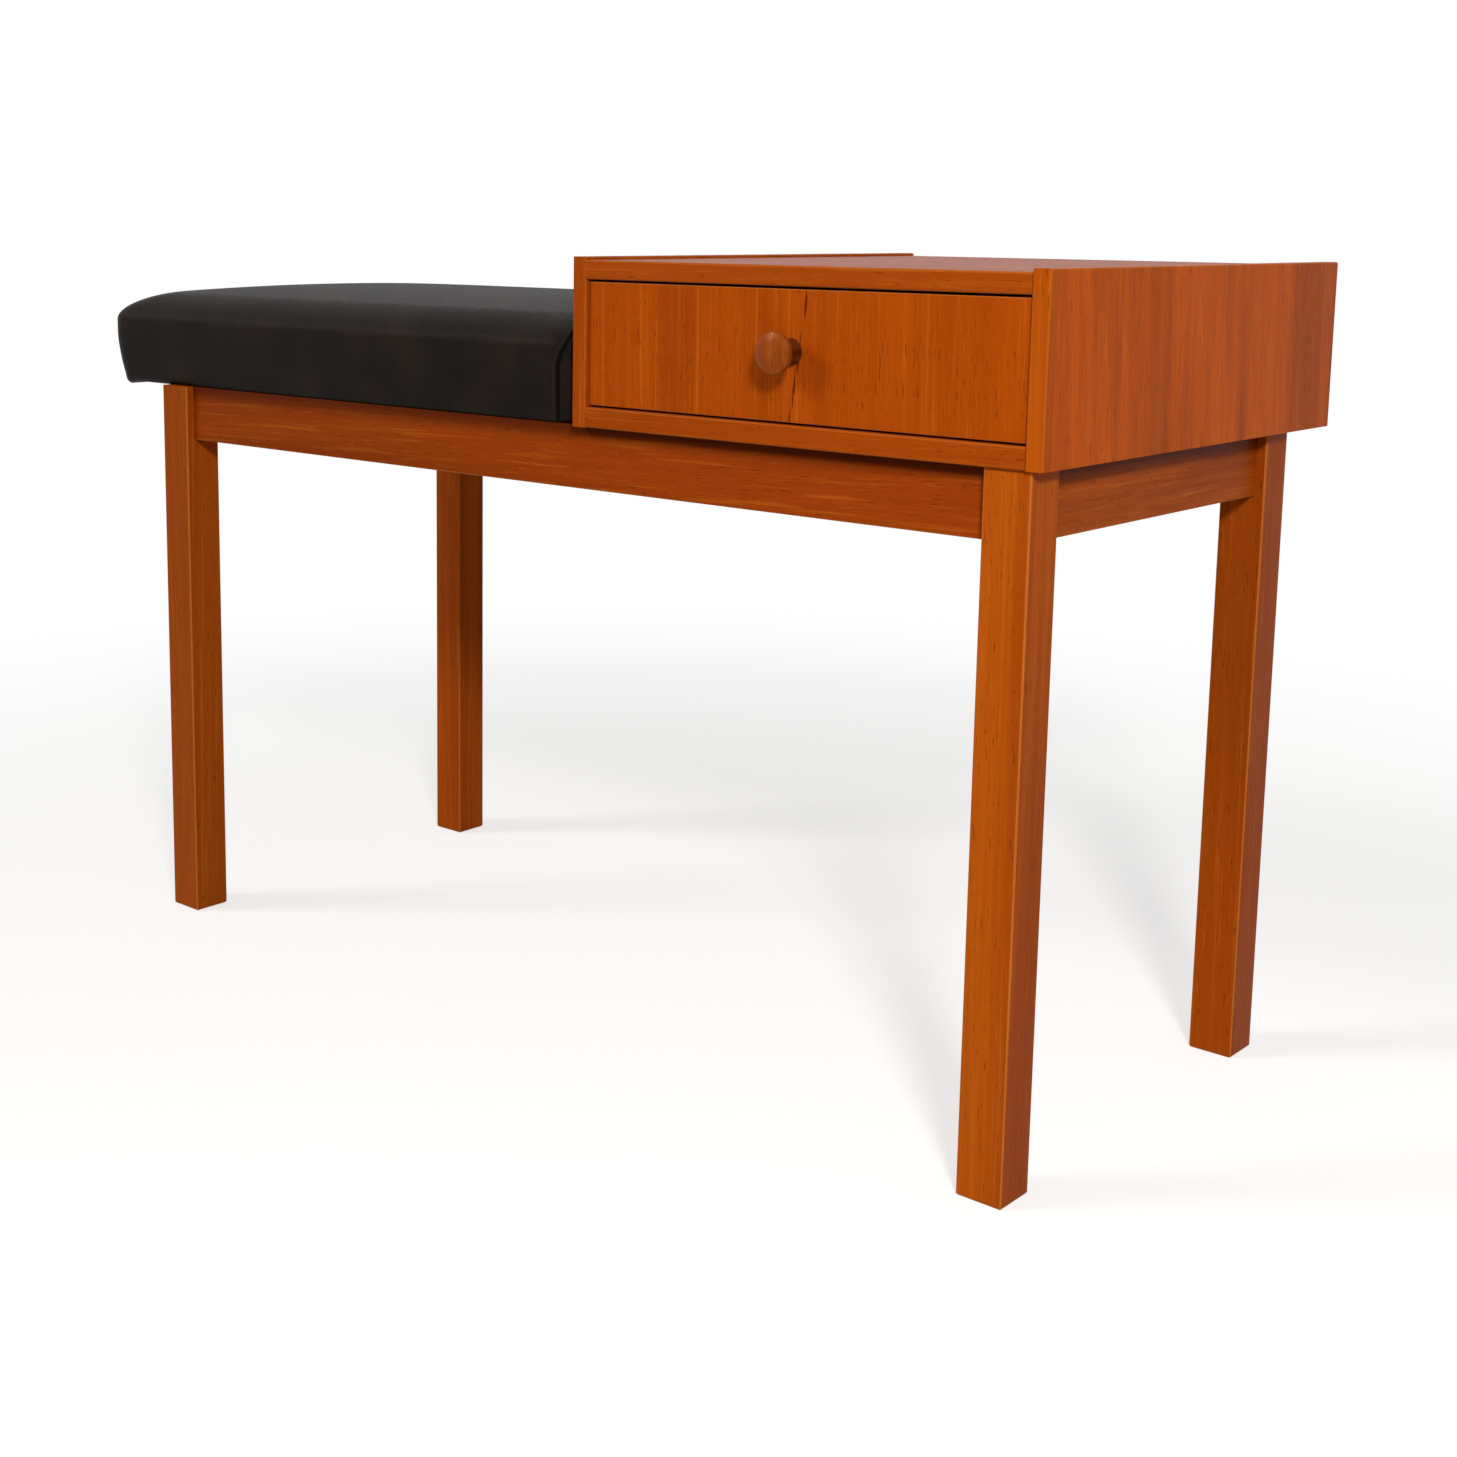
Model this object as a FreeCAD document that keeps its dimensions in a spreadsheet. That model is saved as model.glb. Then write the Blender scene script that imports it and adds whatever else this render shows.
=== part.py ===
import FreeCAD, Part
import math
import os
import re

import Sketcher

# Telephone bench: a leg frame carrying a padded seat on the left and a one-drawer cabinet on the right.
# Frame of the part: X along the bench to the right, Y from front to back, Z up. The origin lies on the floor
# under the middle of the whole bench. All sizes are in millimetres.

Vector = FreeCAD.Vector
Rotation = FreeCAD.Rotation
UP = Vector(0, 0, 1)

SIZES = (
    # Leg frame
    ("frame_length", 765.0),
    ("frame_depth", 322.0),
    ("leg_side", 30.0),
    ("leg_height", 419.0),
    ("leg_arris", 1.5),
    ("foot_bevel", 1.2),
    ("apron_height", 41.0),
    ("apron_thickness", 18.0),
    ("apron_setback", 6.5),
    ("apron_arris", 1.0),
    ("cross_rail_width", 70.0),
    ("cross_rail_thickness", 18.0),
    ("cross_rail_shift", -8.0),
    ("block_leg", 60.0),
    ("block_height", 28.0),
    ("block_nose", 12.0),
    # Dowels of the leg frame
    ("dowel_diameter", 6.0),
    ("dowel_in_leg", 14.0),
    ("dowel_in_apron", 20.0),
    ("dowel_in_rail_seat", 10.0),
    ("long_dowel_rise", 6.0),
    ("end_dowel_rise", 15.5),
    ("dowel_spacing", 19.0),
    ("rail_dowel_spread", 40.0),
    ("glue_gap", 0.05),
    ("dowel_end_gap", 0.8),
    # Seat
    ("seat_overhang", 71.4),
    ("seat_front_overhang", 1.4),
    ("seat_back_inset", 1.0),
    ("seat_side_gap", 0.3),
    ("seat_corner_radius", 22.0),
    ("seat_wall_height", 48.3),
    ("seat_edge_run", 32.6),
    ("seat_edge_rise", 18.9),
    ("seat_crown", 8.4),
    ("crown_power_along", 8.0),
    ("crown_power_across", 2.3),
    ("crown_reach", 0.82),
    ("seat_lean", 6.4),
    ("seat_bottom_round", 2.5),
    ("seat_bottom_round_height", 3.0),
    ("cover_thickness", 1.0),
    ("foam_gap", 0.3),
    ("hem_width", 30.0),
    ("hem_corner_radius", 6.0),
    ("board_thickness", 12.0),
    ("board_inset", 11.4),
    ("board_corner_radius", 12.0),
    # Staples of the seat cover
    ("staple_inset", 22.0),
    ("staple_spacing", 62.0),
    ("staple_crown", 10.0),
    ("staple_wire", 0.8),
    ("staple_leg", 7.0),
    # Wood screws that come up through the frame
    ("screw_diameter", 4.0),
    ("screw_head_diameter", 7.6),
    ("screw_head_height", 2.2),
    ("screw_bite", 8.0),
    ("screw_slot_width", 1.0),
    ("screw_slot_depth", 1.0),
    ("thread_gap", 0.05),
    ("block_screw_inset", 22.0),
    ("seat_rail_screw_inset", 23.0),
    ("cabinet_rail_screw_inset", 18.0),
    ("rail_screw_spread", 180.0),
    # Cabinet
    ("cabinet_width", 337.5),
    ("cabinet_height", 107.0),
    ("cabinet_overhang_side", 8.0),
    ("cabinet_overhang_front", 3.0),
    ("cabinet_overhang_back", 43.0),
    ("side_thickness", 11.0),
    ("side_rise", 2.0),
    ("top_thickness", 12.0),
    ("bottom_thickness", 13.0),
    ("lipping_depth", 8.0),
    ("lipping_arris", 1.2),
    ("rail_arris", 1.5),
    ("back_thickness", 5.0),
    ("back_lap", 6.0),
    ("back_gap", 0.2),
    ("panel_dowel_diameter", 5.0),
    ("panel_dowel_in_side", 7.0),
    ("panel_dowel_in_panel", 16.0),
    ("panel_dowel_margin", 40.0),
    ("pin_diameter", 1.4),
    ("pin_head_diameter", 2.6),
    ("pin_head_height", 0.8),
    ("pin_bite", 10.0),
    ("pin_margin", 25.0),
    # Drawer runners
    ("runner_thickness", 6.0),
    ("runner_height", 10.0),
    ("runner_rear_gap", 9.7),
    ("runner_rise", 33.0),
    ("runner_screw_margin", 60.0),
    ("runner_screw_diameter", 3.0),
    ("runner_screw_head_diameter", 5.6),
    ("runner_screw_head_height", 1.6),
    ("runner_screw_slot_depth", 0.7),
    # Drawer
    ("drawer_recess", 3.0),
    ("drawer_gap_side", 0.7),
    ("drawer_gap_top", 1.4),
    ("drawer_gap_bottom", 1.2),
    ("drawer_stop_gap", 0.3),
    ("drawer_front_thickness", 14.0),
    ("drawer_front_arris", 0.8),
    ("drawer_side_gap", 1.0),
    ("drawer_side_thickness", 10.0),
    ("drawer_side_height", 66.0),
    ("drawer_side_lift", 5.0),
    ("drawer_rear_space", 16.0),
    ("drawer_back_thickness", 10.0),
    ("runner_top_gap", 0.3),
    ("runner_low_gap", 0.5),
    ("runner_end_gap", 0.8),
    ("tray_thickness", 4.0),
    ("tray_rise", 6.0),
    ("tray_groove_depth", 5.0),
    ("tray_gap", 0.15),
    ("tray_pin_spread", 200.0),
    ("tail_length", 8.0),
    ("tail_root", 10.0),
    ("tail_tip", 13.0),
    ("tail_rise", 18.5),
    ("tail_drop", 16.5),
    # Knob
    ("knob_head_diameter", 24.6),
    ("knob_foot_diameter", 16.0),
    ("knob_neck_diameter", 14.0),
    ("knob_neck_height", 6.0),
    ("knob_rim_low", 14.5),
    ("knob_rim_high", 18.0),
    ("knob_reach", 20.5),
    ("knob_flare_radius", 9.5),
    ("knob_rim_round", 1.2),
    ("knob_rise", 2.5),
    ("knob_screw_diameter", 4.0),
    ("knob_screw_head_diameter", 8.0),
    ("knob_screw_head_height", 2.4),
    ("knob_screw_bite", 11.0),
    ("knob_screw_slack", 0.25),
)

PLACES = (
    # Reach of the whole bench
    ("overall_length", "seat_overhang + frame_length + cabinet_overhang_side"),
    ("overall_depth", "knob_reach - drawer_recess + cabinet_overhang_front + frame_depth + cabinet_overhang_back"),
    # Leg frame
    ("frame_left", "seat_overhang - overall_length / 2"),
    ("frame_right", "frame_left + frame_length"),
    ("cabinet_front", "knob_reach - drawer_recess - overall_depth / 2"),
    ("frame_front", "cabinet_front + cabinet_overhang_front"),
    ("frame_back", "frame_front + frame_depth"),
    ("frame_middle_x", "(frame_left + frame_right) / 2"),
    ("frame_middle_y", "(frame_front + frame_back) / 2"),
    ("leg_half", "leg_side / 2"),
    ("apron_axis", "apron_setback + apron_thickness / 2"),
    ("apron_inner", "apron_setback + apron_thickness"),
    ("long_apron_length", "frame_length - 2 * leg_side"),
    ("end_apron_length", "frame_depth - 2 * leg_side"),
    ("apron_middle_z", "leg_height - apron_height / 2"),
    ("apron_low", "leg_height - apron_height"),
    ("dowel_length", "dowel_in_leg + dowel_in_apron"),
    ("rail_dowel_length", "dowel_in_rail_seat + dowel_in_apron"),
    # Cabinet
    ("cabinet_right", "frame_right + cabinet_overhang_side"),
    ("cabinet_left", "cabinet_right - cabinet_width"),
    ("cabinet_back", "frame_back + cabinet_overhang_back"),
    ("cabinet_middle_x", "(cabinet_left + cabinet_right) / 2"),
    ("bay_left", "cabinet_left + side_thickness"),
    ("bay_right", "cabinet_right - side_thickness"),
    ("bay_width", "cabinet_width - 2 * side_thickness"),
    ("panel_front", "cabinet_front + lipping_depth"),
    ("panel_depth", "cabinet_back - panel_front"),
    ("panel_middle_y", "(panel_front + cabinet_back) / 2"),
    ("top_face", "leg_height + cabinet_height - side_rise"),
    ("top_middle_z", "top_face - top_thickness / 2"),
    ("bottom_middle_z", "leg_height + bottom_thickness / 2"),
    ("bay_low", "leg_height + bottom_thickness"),
    ("bay_high", "top_face - top_thickness"),
    ("bay_back", "cabinet_back - back_thickness"),
    ("rail_x", "cabinet_left + cross_rail_shift"),
    # Seat
    ("seat_left", "frame_left - seat_overhang"),
    ("seat_right", "cabinet_left - seat_side_gap"),
    ("seat_front", "frame_front - seat_front_overhang"),
    ("seat_back", "cabinet_back - seat_back_inset"),
    ("seat_half_length", "(seat_right - seat_left) / 2"),
    ("seat_half_width", "(seat_back - seat_front) / 2"),
    ("seat_middle_x", "(seat_right + seat_left) / 2"),
    ("seat_middle_y", "(seat_back + seat_front) / 2"),
    ("seat_edge_height", "seat_wall_height + seat_edge_rise"),
    # Drawer
    ("drawer_face", "cabinet_front + drawer_recess"),
    ("drawer_rear", "drawer_face + drawer_front_thickness"),
    ("drawer_front_width", "bay_width - 2 * drawer_gap_side"),
    ("drawer_front_low", "bay_low + drawer_gap_bottom"),
    ("drawer_front_height", "bay_high - bay_low - drawer_gap_bottom - drawer_gap_top"),
    ("drawer_middle_z", "drawer_front_low + drawer_front_height / 2"),
    ("box_half_width", "bay_width / 2 - drawer_side_gap"),
    ("box_low", "drawer_front_low + drawer_side_lift"),
    ("box_high", "box_low + drawer_side_height"),
    ("box_end", "bay_back - drawer_rear_space"),
    ("drawer_side_length", "box_end - drawer_rear"),
    ("box_inner_end", "box_end - drawer_back_thickness"),
    ("tray_low", "box_low + tray_rise"),
    ("tray_high", "tray_low + tray_thickness"),
    ("runner_z", "box_low + runner_rise"),
    ("runner_front", "drawer_rear + drawer_stop_gap"),
    ("runner_length", "bay_back - runner_rear_gap - runner_front"),
    ("slot_depth", "runner_thickness - drawer_side_gap + runner_end_gap"),
    ("knob_z", "drawer_middle_z + knob_rise"),
)

SHEET_OF = {alias: "Sizes." for alias, value in SIZES}
SHEET_OF.update({alias: "Places." for alias, formula in PLACES})

doc = FreeCAD.newDocument("TelephoneBench")
NODES = []


# Values and bindings

def with_sheets(expression, own=""):
    """The expression with the name of its sheet before each value that isn't in the sheet named own."""
    def named(word):
        sheet = SHEET_OF.get(word[0], "")
        return word[0] if sheet == own else sheet + word[0]
    return re.sub(r"[a-z_]+", named, expression)


def write_sheets():
    """One sheet of driving sizes, and one of the places that follow from them."""
    sizes = doc.addObject("Spreadsheet::Sheet", "Sizes")
    for row, (alias, value) in enumerate(SIZES, start=1):
        sizes.set(f"A{row}", str(value))
        sizes.setAlias(f"A{row}", alias)
    places = doc.addObject("Spreadsheet::Sheet", "Places")
    for row, (alias, formula) in enumerate(PLACES, start=1):
        places.set(f"A{row}", "=" + with_sheets(formula, "Places."))
        places.setAlias(f"A{row}", alias)
    doc.recompute()


def size(alias):
    """The value of one cell, by its alias."""
    return float(getattr(doc.getObject(SHEET_OF[alias].rstrip(".")), alias))


def bind(item, **expressions):
    """Bind properties to expressions of the sheets' values."""
    for name, expression in expressions.items():
        item.setExpression(name, with_sheets(expression))


def place(item, x="0", y="0", z="0", turn=None):
    """Bind the item's place, after turning it where a rotation is given."""
    if turn:
        item.Placement = FreeCAD.Placement(Vector(), turn)
    for axis, expression in (("x", x), ("y", y), ("z", z)):
        item.setExpression(f"Placement.Base.{axis}", with_sheets(expression))


def node(item, name):
    """Declare the item as the sub-part of that name."""
    item.Label = name
    NODES.append((name, item))
    return item


# Shapes that repeat

def origin_plane(body, role):
    """One of the body's own origin planes."""
    return next(plane for plane in body.Origin.OriginFeatures if plane.Role == role)


def flat_sketch(body, name, role="XY_Plane"):
    """A sketch on an origin plane of its body."""
    sketch = body.newObject("Sketcher::SketchObject", name)
    sketch.AttachmentSupport = [(origin_plane(body, role), "")]
    sketch.MapMode = "FlatFace"
    return sketch


def centred_rectangle(sketch, length, width):
    """Four lines about the sketch's origin, with both sizes bound."""
    corners = [Vector(-5, -4), Vector(5, -4), Vector(5, 4), Vector(-5, 4)]
    following = corners[1:] + corners[:1]
    sketch.addGeometry([Part.LineSegment(a, b) for a, b in zip(corners, following)], False)
    joined = [Sketcher.Constraint("Coincident", line, 2, (line + 1) % 4, 1) for line in range(4)]
    level = [Sketcher.Constraint("Horizontal", line) for line in (0, 2)]
    upright = [Sketcher.Constraint("Vertical", line) for line in (1, 3)]
    about_origin = Sketcher.Constraint("Symmetric", 0, 1, 1, 2, -1, 1)
    sketch.addConstraint(joined + level + upright + [about_origin])
    long_side = sketch.addConstraint(Sketcher.Constraint("DistanceX", 0, 1, 0, 2, 10.0))
    wide_side = sketch.addConstraint(Sketcher.Constraint("DistanceY", 1, 1, 1, 2, 8.0))
    sketch.setExpression(f"Constraints[{long_side}]", with_sheets(length))
    sketch.setExpression(f"Constraints[{wide_side}]", with_sheets(width))


def block(name, length, width, height):
    """A squared piece of wood about its own middle: a rectangle padded half each way."""
    body = doc.addObject("PartDesign::Body", name)
    sketch = flat_sketch(body, name + "_outline")
    centred_rectangle(sketch, length, width)
    pad = body.newObject("PartDesign::Pad", name + "_pad")
    pad.Profile = sketch
    pad.SideType = "Symmetric"
    bind(pad, Length=height)
    doc.recompute()
    return body


def runs_along(edge, axis):
    """Whether an edge is a straight run along the axis of that name."""
    if not isinstance(edge.Curve, Part.Line):
        return False
    return abs(getattr(edge.Curve.Direction, axis)) > 0.999


def soften(body, chosen, radius, kind="Fillet"):
    """Round or bevel the edges of the body's last feature that the test picks."""
    last = body.Tip
    names = [f"Edge{index}" for index, edge in enumerate(last.Shape.Edges, start=1) if chosen(edge)]
    feature = body.newObject("PartDesign::" + kind, f"{body.Name}_{kind.lower()}_{len(body.Group)}")
    feature.Base = (last, names)
    bind(feature, **({"Radius": radius} if kind == "Fillet" else {"Size": radius}))
    doc.recompute()
    return body


def box(name, length, width, height, x, y, z):
    """A box with its lowest corner at a place."""
    item = doc.addObject("Part::Box", name)
    bind(item, Length=length, Width=width, Height=height)
    place(item, x, y, z)
    return item


def group(name, items):
    """Several separate solids as one object."""
    item = doc.addObject("Part::Compound", name)
    item.Links = items
    return item


def fuse(name, items):
    """Items joined into one solid, with flush faces merged."""
    item = doc.addObject("Part::MultiFuse", name)
    item.Shapes = items
    item.Refine = True
    return item


def carve(name, base, tools):
    """The base less its tools."""
    item = doc.addObject("Part::Cut", name)
    item.Base = base
    item.Tool = tools[0] if len(tools) == 1 else group(name + "_tools", tools)
    return item


def copies(master, name, spots, turn=None):
    """Copies of a master piece, one for each spot of three expressions."""
    made = []
    for index, (x, y, z) in enumerate(spots, start=1):
        link = doc.addObject("App::Link", f"{name}_{index}")
        link.LinkedObject = master
        place(link, x, y, z, turn)
        made.append(link)
    return made


def facing(direction):
    """The rotation that turns an upright piece to a direction."""
    return Rotation(UP, direction)


def round_bar(name, radius, length):
    """A round bar that stands on its own origin."""
    item = doc.addObject("Part::Cylinder", name)
    bind(item, Radius=radius, Height=length)
    return item


def dowel_pair(name, diameter, length):
    """A dowel about its own middle, and the longer, slightly wider bore that it is glued in."""
    dowel = round_bar(name, f"{diameter} / 2", length)
    place(dowel, z=f"-({length}) / 2")
    bore = round_bar(name + "_bore", f"{diameter} / 2 + glue_gap", f"{length} + 2 * dowel_end_gap")
    place(bore, z=f"-({length}) / 2 - dowel_end_gap")
    return group(name + "_piece", [dowel]), group(name + "_space", [bore])


def screw_pair(name, diameter, length, head, head_height, slot_depth):
    """A slotted countersunk wood screw with its head at the origin and its shank going up, and its bore."""
    made = []
    for kind, gap in (("piece", "0"), ("space", "thread_gap")):
        cone = doc.addObject("Part::Cone", f"{name}_{kind}_head")
        bind(cone, Radius1=f"{head} / 2 + {gap}", Radius2=f"{diameter} / 2 + {gap}", Height=head_height)
        shank = round_bar(f"{name}_{kind}_shank", f"{diameter} / 2 + {gap}", f"{length} - {diameter} + {gap}")
        point = doc.addObject("Part::Cone", f"{name}_{kind}_point")
        bind(point, Radius1=f"{diameter} / 2 + {gap}", Radius2=f"{diameter} / 8 + {gap}", Height=diameter)
        place(point, z=f"{length} - {diameter} + {gap}")
        made.append(fuse(f"{name}_{kind}", [cone, shank, point]))
    slot = box(name + "_slot", head, "screw_slot_width", slot_depth, f"-{head} / 2", "-screw_slot_width / 2", "0")
    return carve(name + "_slotted", made[0], [slot]), made[1]


def pin_pair(name, length):
    """A flat-headed panel pin with its head at the origin and its shank going up, and its bore."""
    made = []
    for kind, gap in (("piece", "0"), ("space", "thread_gap")):
        head = round_bar(f"{name}_{kind}_head", f"pin_head_diameter / 2 + {gap}", "pin_head_height")
        shank = round_bar(f"{name}_{kind}_shank", f"pin_diameter / 2 + {gap}", f"{length} + {gap}")
        made.append(fuse(f"{name}_{kind}", [head, shank]))
    return made


# Leg frame

def build_frame():
    """Four legs, four aprons, a cross rail, glue blocks and the dowels that join them."""
    dowel, bore = dowel_pair("frame_dowel", "dowel_diameter", "dowel_length")
    rail_dowel, rail_bore = dowel_pair("rail_dowel", "dowel_diameter", "rail_dowel_length")
    along_x = facing(Vector(1, 0, 0))
    along_y = facing(Vector(0, 1, 0))
    # A dowel's middle lies off the joint's face by half the difference of its two reaches.
    shift = "(dowel_in_apron - dowel_in_leg) / 2"
    ends_x = (f"frame_left + leg_side + {shift}", f"frame_right - leg_side - {shift}")
    ends_y = (f"frame_front + leg_side + {shift}", f"frame_back - leg_side - {shift}")
    axes_x = ("frame_left + apron_axis", "frame_right - apron_axis")
    axes_y = ("frame_front + apron_axis", "frame_back - apron_axis")
    heights_long = ("apron_low + long_dowel_rise", "apron_low + long_dowel_rise + dowel_spacing")
    heights_end = ("apron_low + end_dowel_rise", "apron_low + end_dowel_rise + dowel_spacing")
    long_spots = [(x, y, z) for x in ends_x for y in axes_y for z in heights_long]
    end_spots = [(x, y, z) for x in axes_x for y in ends_y for z in heights_end]
    rail_shift = "(dowel_in_apron - dowel_in_rail_seat) / 2"
    rail_ends = (f"frame_front + apron_inner + {rail_shift}", f"frame_back - apron_inner - {rail_shift}")
    rail_sides = ("rail_x - rail_dowel_spread / 2", "rail_x + rail_dowel_spread / 2")
    rail_spots = [(x, y, "leg_height - cross_rail_thickness / 2") for x in rail_sides for y in rail_ends]
    dowels = []
    bores = []
    for pieces, master in ((dowels, (dowel, rail_dowel)), (bores, (bore, rail_bore))):
        tag = "frame_dowels" if pieces is dowels else "frame_bores"
        pieces += copies(master[0], tag + "_long", long_spots, along_x)
        pieces += copies(master[0], tag + "_end", end_spots, along_y)
        pieces += copies(master[1], tag + "_rail", rail_spots, along_y)
    node(group("frame_dowels", dowels), "frame_dowels")
    bored = group("frame_bores", bores)

    for name, x, y in (
        ("leg_front_left", "frame_left + leg_half", "frame_front + leg_half"),
        ("leg_front_right", "frame_right - leg_half", "frame_front + leg_half"),
        ("leg_back_left", "frame_left + leg_half", "frame_back - leg_half"),
        ("leg_back_right", "frame_right - leg_half", "frame_back - leg_half"),
    ):
        blank = block(name + "_blank", "leg_side", "leg_side", "leg_height")
        soften(blank, lambda edge: runs_along(edge, "z"), "leg_arris")
        foot = -size("leg_height") / 2
        soften(blank, lambda edge: edge.BoundBox.ZMax < foot + 0.01, "foot_bevel", "Chamfer")
        place(blank, x, y, "leg_height / 2")
        node(carve(name, blank, [bored]), name)

    for name, length, width, x, y in (
        ("apron_front", "long_apron_length", "apron_thickness", "frame_middle_x", "frame_front + apron_axis"),
        ("apron_back", "long_apron_length", "apron_thickness", "frame_middle_x", "frame_back - apron_axis"),
        ("apron_left", "apron_thickness", "end_apron_length", "frame_left + apron_axis", "frame_middle_y"),
        ("apron_right", "apron_thickness", "end_apron_length", "frame_right - apron_axis", "frame_middle_y"),
    ):
        run = "x" if length == "long_apron_length" else "y"
        blank = block(name + "_blank", length, width, "apron_height")
        soften(blank, lambda edge: runs_along(edge, run) and edge.BoundBox.ZMax < 0, "apron_arris")
        place(blank, x, y, "apron_middle_z")
        node(carve(name, blank, [bored]), name)
    return bored


def build_corner_blocks(screw_bores):
    """Glue blocks: corner-cut triangles between two aprons, with a screw up through each."""
    for name, x, y, turn in (
        ("corner_block_front_left", "frame_left + apron_inner", "frame_front + apron_inner", 0),
        ("corner_block_front_right", "frame_right - apron_inner", "frame_front + apron_inner", 90),
        ("corner_block_back_right", "frame_right - apron_inner", "frame_back - apron_inner", 180),
        ("corner_block_back_left", "frame_left + apron_inner", "frame_back - apron_inner", 270),
    ):
        body = doc.addObject("PartDesign::Body", name + "_blank")
        sketch = flat_sketch(body, name + "_outline")
        corners = [Vector(size("block_nose"), 0), Vector(size("block_leg"), 0),
                   Vector(0, size("block_leg")), Vector(0, size("block_nose"))]
        following = corners[1:] + corners[:1]
        sketch.addGeometry([Part.LineSegment(a, b) for a, b in zip(corners, following)], False)
        sketch.addConstraint([Sketcher.Constraint("Coincident", line, 2, (line + 1) % 4, 1) for line in range(4)])
        sketch.addConstraint([Sketcher.Constraint("PointOnObject", line, 1, -1) for line in (0, 1)])
        sketch.addConstraint([Sketcher.Constraint("PointOnObject", line, 1, -2) for line in (2, 3)])
        for line, way, value in ((0, "DistanceX", "block_nose"), (1, "DistanceX", "block_leg"),
                                 (2, "DistanceY", "block_leg"), (3, "DistanceY", "block_nose")):
            number = sketch.addConstraint(Sketcher.Constraint(way, -1, 1, line, 1, size(value)))
            sketch.setExpression(f"Constraints[{number}]", with_sheets(value))
        pad = body.newObject("PartDesign::Pad", name + "_pad")
        pad.Profile = sketch
        bind(pad, Length="block_height")
        place(body, x, y, "leg_height - block_height", Rotation(UP, turn))
        node(carve(name, body, [screw_bores]), name)


def build_frame_screws():
    """Screws up through the glue blocks and the cross rail, into the seat board and the cabinet's bottom."""
    from_block, block_bore = screw_pair(
        "block_screw", "screw_diameter", "(block_height + screw_bite)",
        "screw_head_diameter", "screw_head_height", "screw_slot_depth")
    from_rail, rail_bore = screw_pair(
        "rail_screw", "screw_diameter", "(cross_rail_thickness + screw_bite)",
        "screw_head_diameter", "screw_head_height", "screw_slot_depth")
    corner_y = ("frame_front + apron_inner + block_screw_inset", "frame_back - apron_inner - block_screw_inset")
    rail_y = ("frame_middle_y - rail_screw_spread / 2", "frame_middle_y + rail_screw_spread / 2")
    block_low = "leg_height - block_height"
    rail_low = "leg_height - cross_rail_thickness"
    spaces = []
    for name, block_x, rail_x in (
        ("seat_screws", "frame_left + apron_inner + block_screw_inset", "cabinet_left - seat_rail_screw_inset"),
        ("cabinet_screws", "frame_right - apron_inner - block_screw_inset", "cabinet_left + cabinet_rail_screw_inset"),
    ):
        block_spots = [(block_x, y, block_low) for y in corner_y]
        rail_spots = [(rail_x, y, rail_low) for y in rail_y]
        screws = copies(from_block, name + "_block", block_spots) + copies(from_rail, name + "_rail", rail_spots)
        node(group(name, screws), name)
        spaces += copies(block_bore, name + "_block_bore", block_spots)
        spaces += copies(rail_bore, name + "_rail_bore", rail_spots)
    return group("frame_screw_bores", spaces)


def build_cross_rail(dowel_bores, screw_bores):
    """The flat rail that carries the meeting edges of seat and cabinet."""
    blank = block("cross_rail_blank", "cross_rail_width", "frame_depth - 2 * apron_inner", "cross_rail_thickness")
    place(blank, "rail_x", "frame_middle_y", "leg_height - cross_rail_thickness / 2")
    node(carve("cross_rail", blank, [dowel_bores, screw_bores]), "cross_rail")


# Padded seat

def edge_profile(half_run, power):
    """The cushion's outline over one half, from its widest wall up to its crown: (inset, height) rows.

    A quarter ellipse rounds the edge, and over it and inward the crown rises as one less a power of the
    distance from the middle.
    """
    run, rise, crown = size("seat_edge_run"), size("seat_edge_rise"), size("seat_crown")
    wall = size("seat_wall_height")
    rows = []
    steps = 60
    for step in range(steps + 1):
        turn = math.pi / 2 * step / steps
        inset = run * (1 - math.cos(turn))
        swell = crown * (1 - ((half_run - inset) / half_run) ** power)
        rows.append((inset, wall + rise * math.sin(turn) + swell * math.sin(turn) ** 2))
    for step in range(1, steps + 1):
        inset = run + (half_run - run) * step / steps
        rows.append((inset, wall + rise + crown * (1 - ((half_run - inset) / half_run) ** power)))
    return rows


def between(value, rows):
    """The second column of rising rows at a value of the first."""
    for (low, first), (high, second) in zip(rows, rows[1:]):
        if low <= value <= high:
            return first + (second - first) * (value - low) / max(high - low, 1e-9)
    return rows[-1][1]


def rounded_loop(half_length, half_width, radius, height):
    """A level loop of four lines and four quarter arcs about the seat's middle."""
    middle = Vector(size("seat_middle_x"), size("seat_middle_y"), size("leg_height") + height)
    edges = []
    for quarter in range(4):
        turn = Rotation(UP, 90 * quarter)
        along, across = (half_length, half_width) if quarter % 2 == 0 else (half_width, half_length)
        centre = Vector(along - radius, radius - across, 0)
        points = [middle + turn.multVec(point) for point in (
            Vector(radius - along, -across, 0),
            centre + Vector(0, -radius, 0),
            centre + Vector(math.sqrt(0.5), -math.sqrt(0.5), 0) * radius,
            centre + Vector(radius, 0, 0))]
        edges.append(Part.LineSegment(points[0], points[1]).toShape())
        edges.append(Part.Arc(points[1], points[2], points[3]).toShape())
    return Part.Wire(edges)


def wall_loops(margin, low):
    """Loops up the seat's wall, which leans out from a slightly rounded bottom edge to its widest line."""
    half_length, half_width, radius = size("seat_half_length"), size("seat_half_width"), size("seat_corner_radius")
    wall, lean = size("seat_wall_height"), size("seat_lean")
    round_height = size("seat_bottom_round_height")
    widest = 0.85 * wall
    heights = [low, (low + round_height) / 2, round_height, 2 * round_height]
    rest = wall - 2 * round_height
    heights += [2 * round_height + rest * step / 6 for step in range(1, 7)]
    loops = []
    for height in heights:
        inset = margin + lean * (1 - math.sin(math.pi / 2 * min(1.0, height / widest)))
        inset += size("seat_bottom_round") * max(0.0, 1 - height / round_height) ** 2
        loops.append(rounded_loop(half_length - inset, half_width - inset, radius - inset / 2, height))
    return loops


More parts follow.
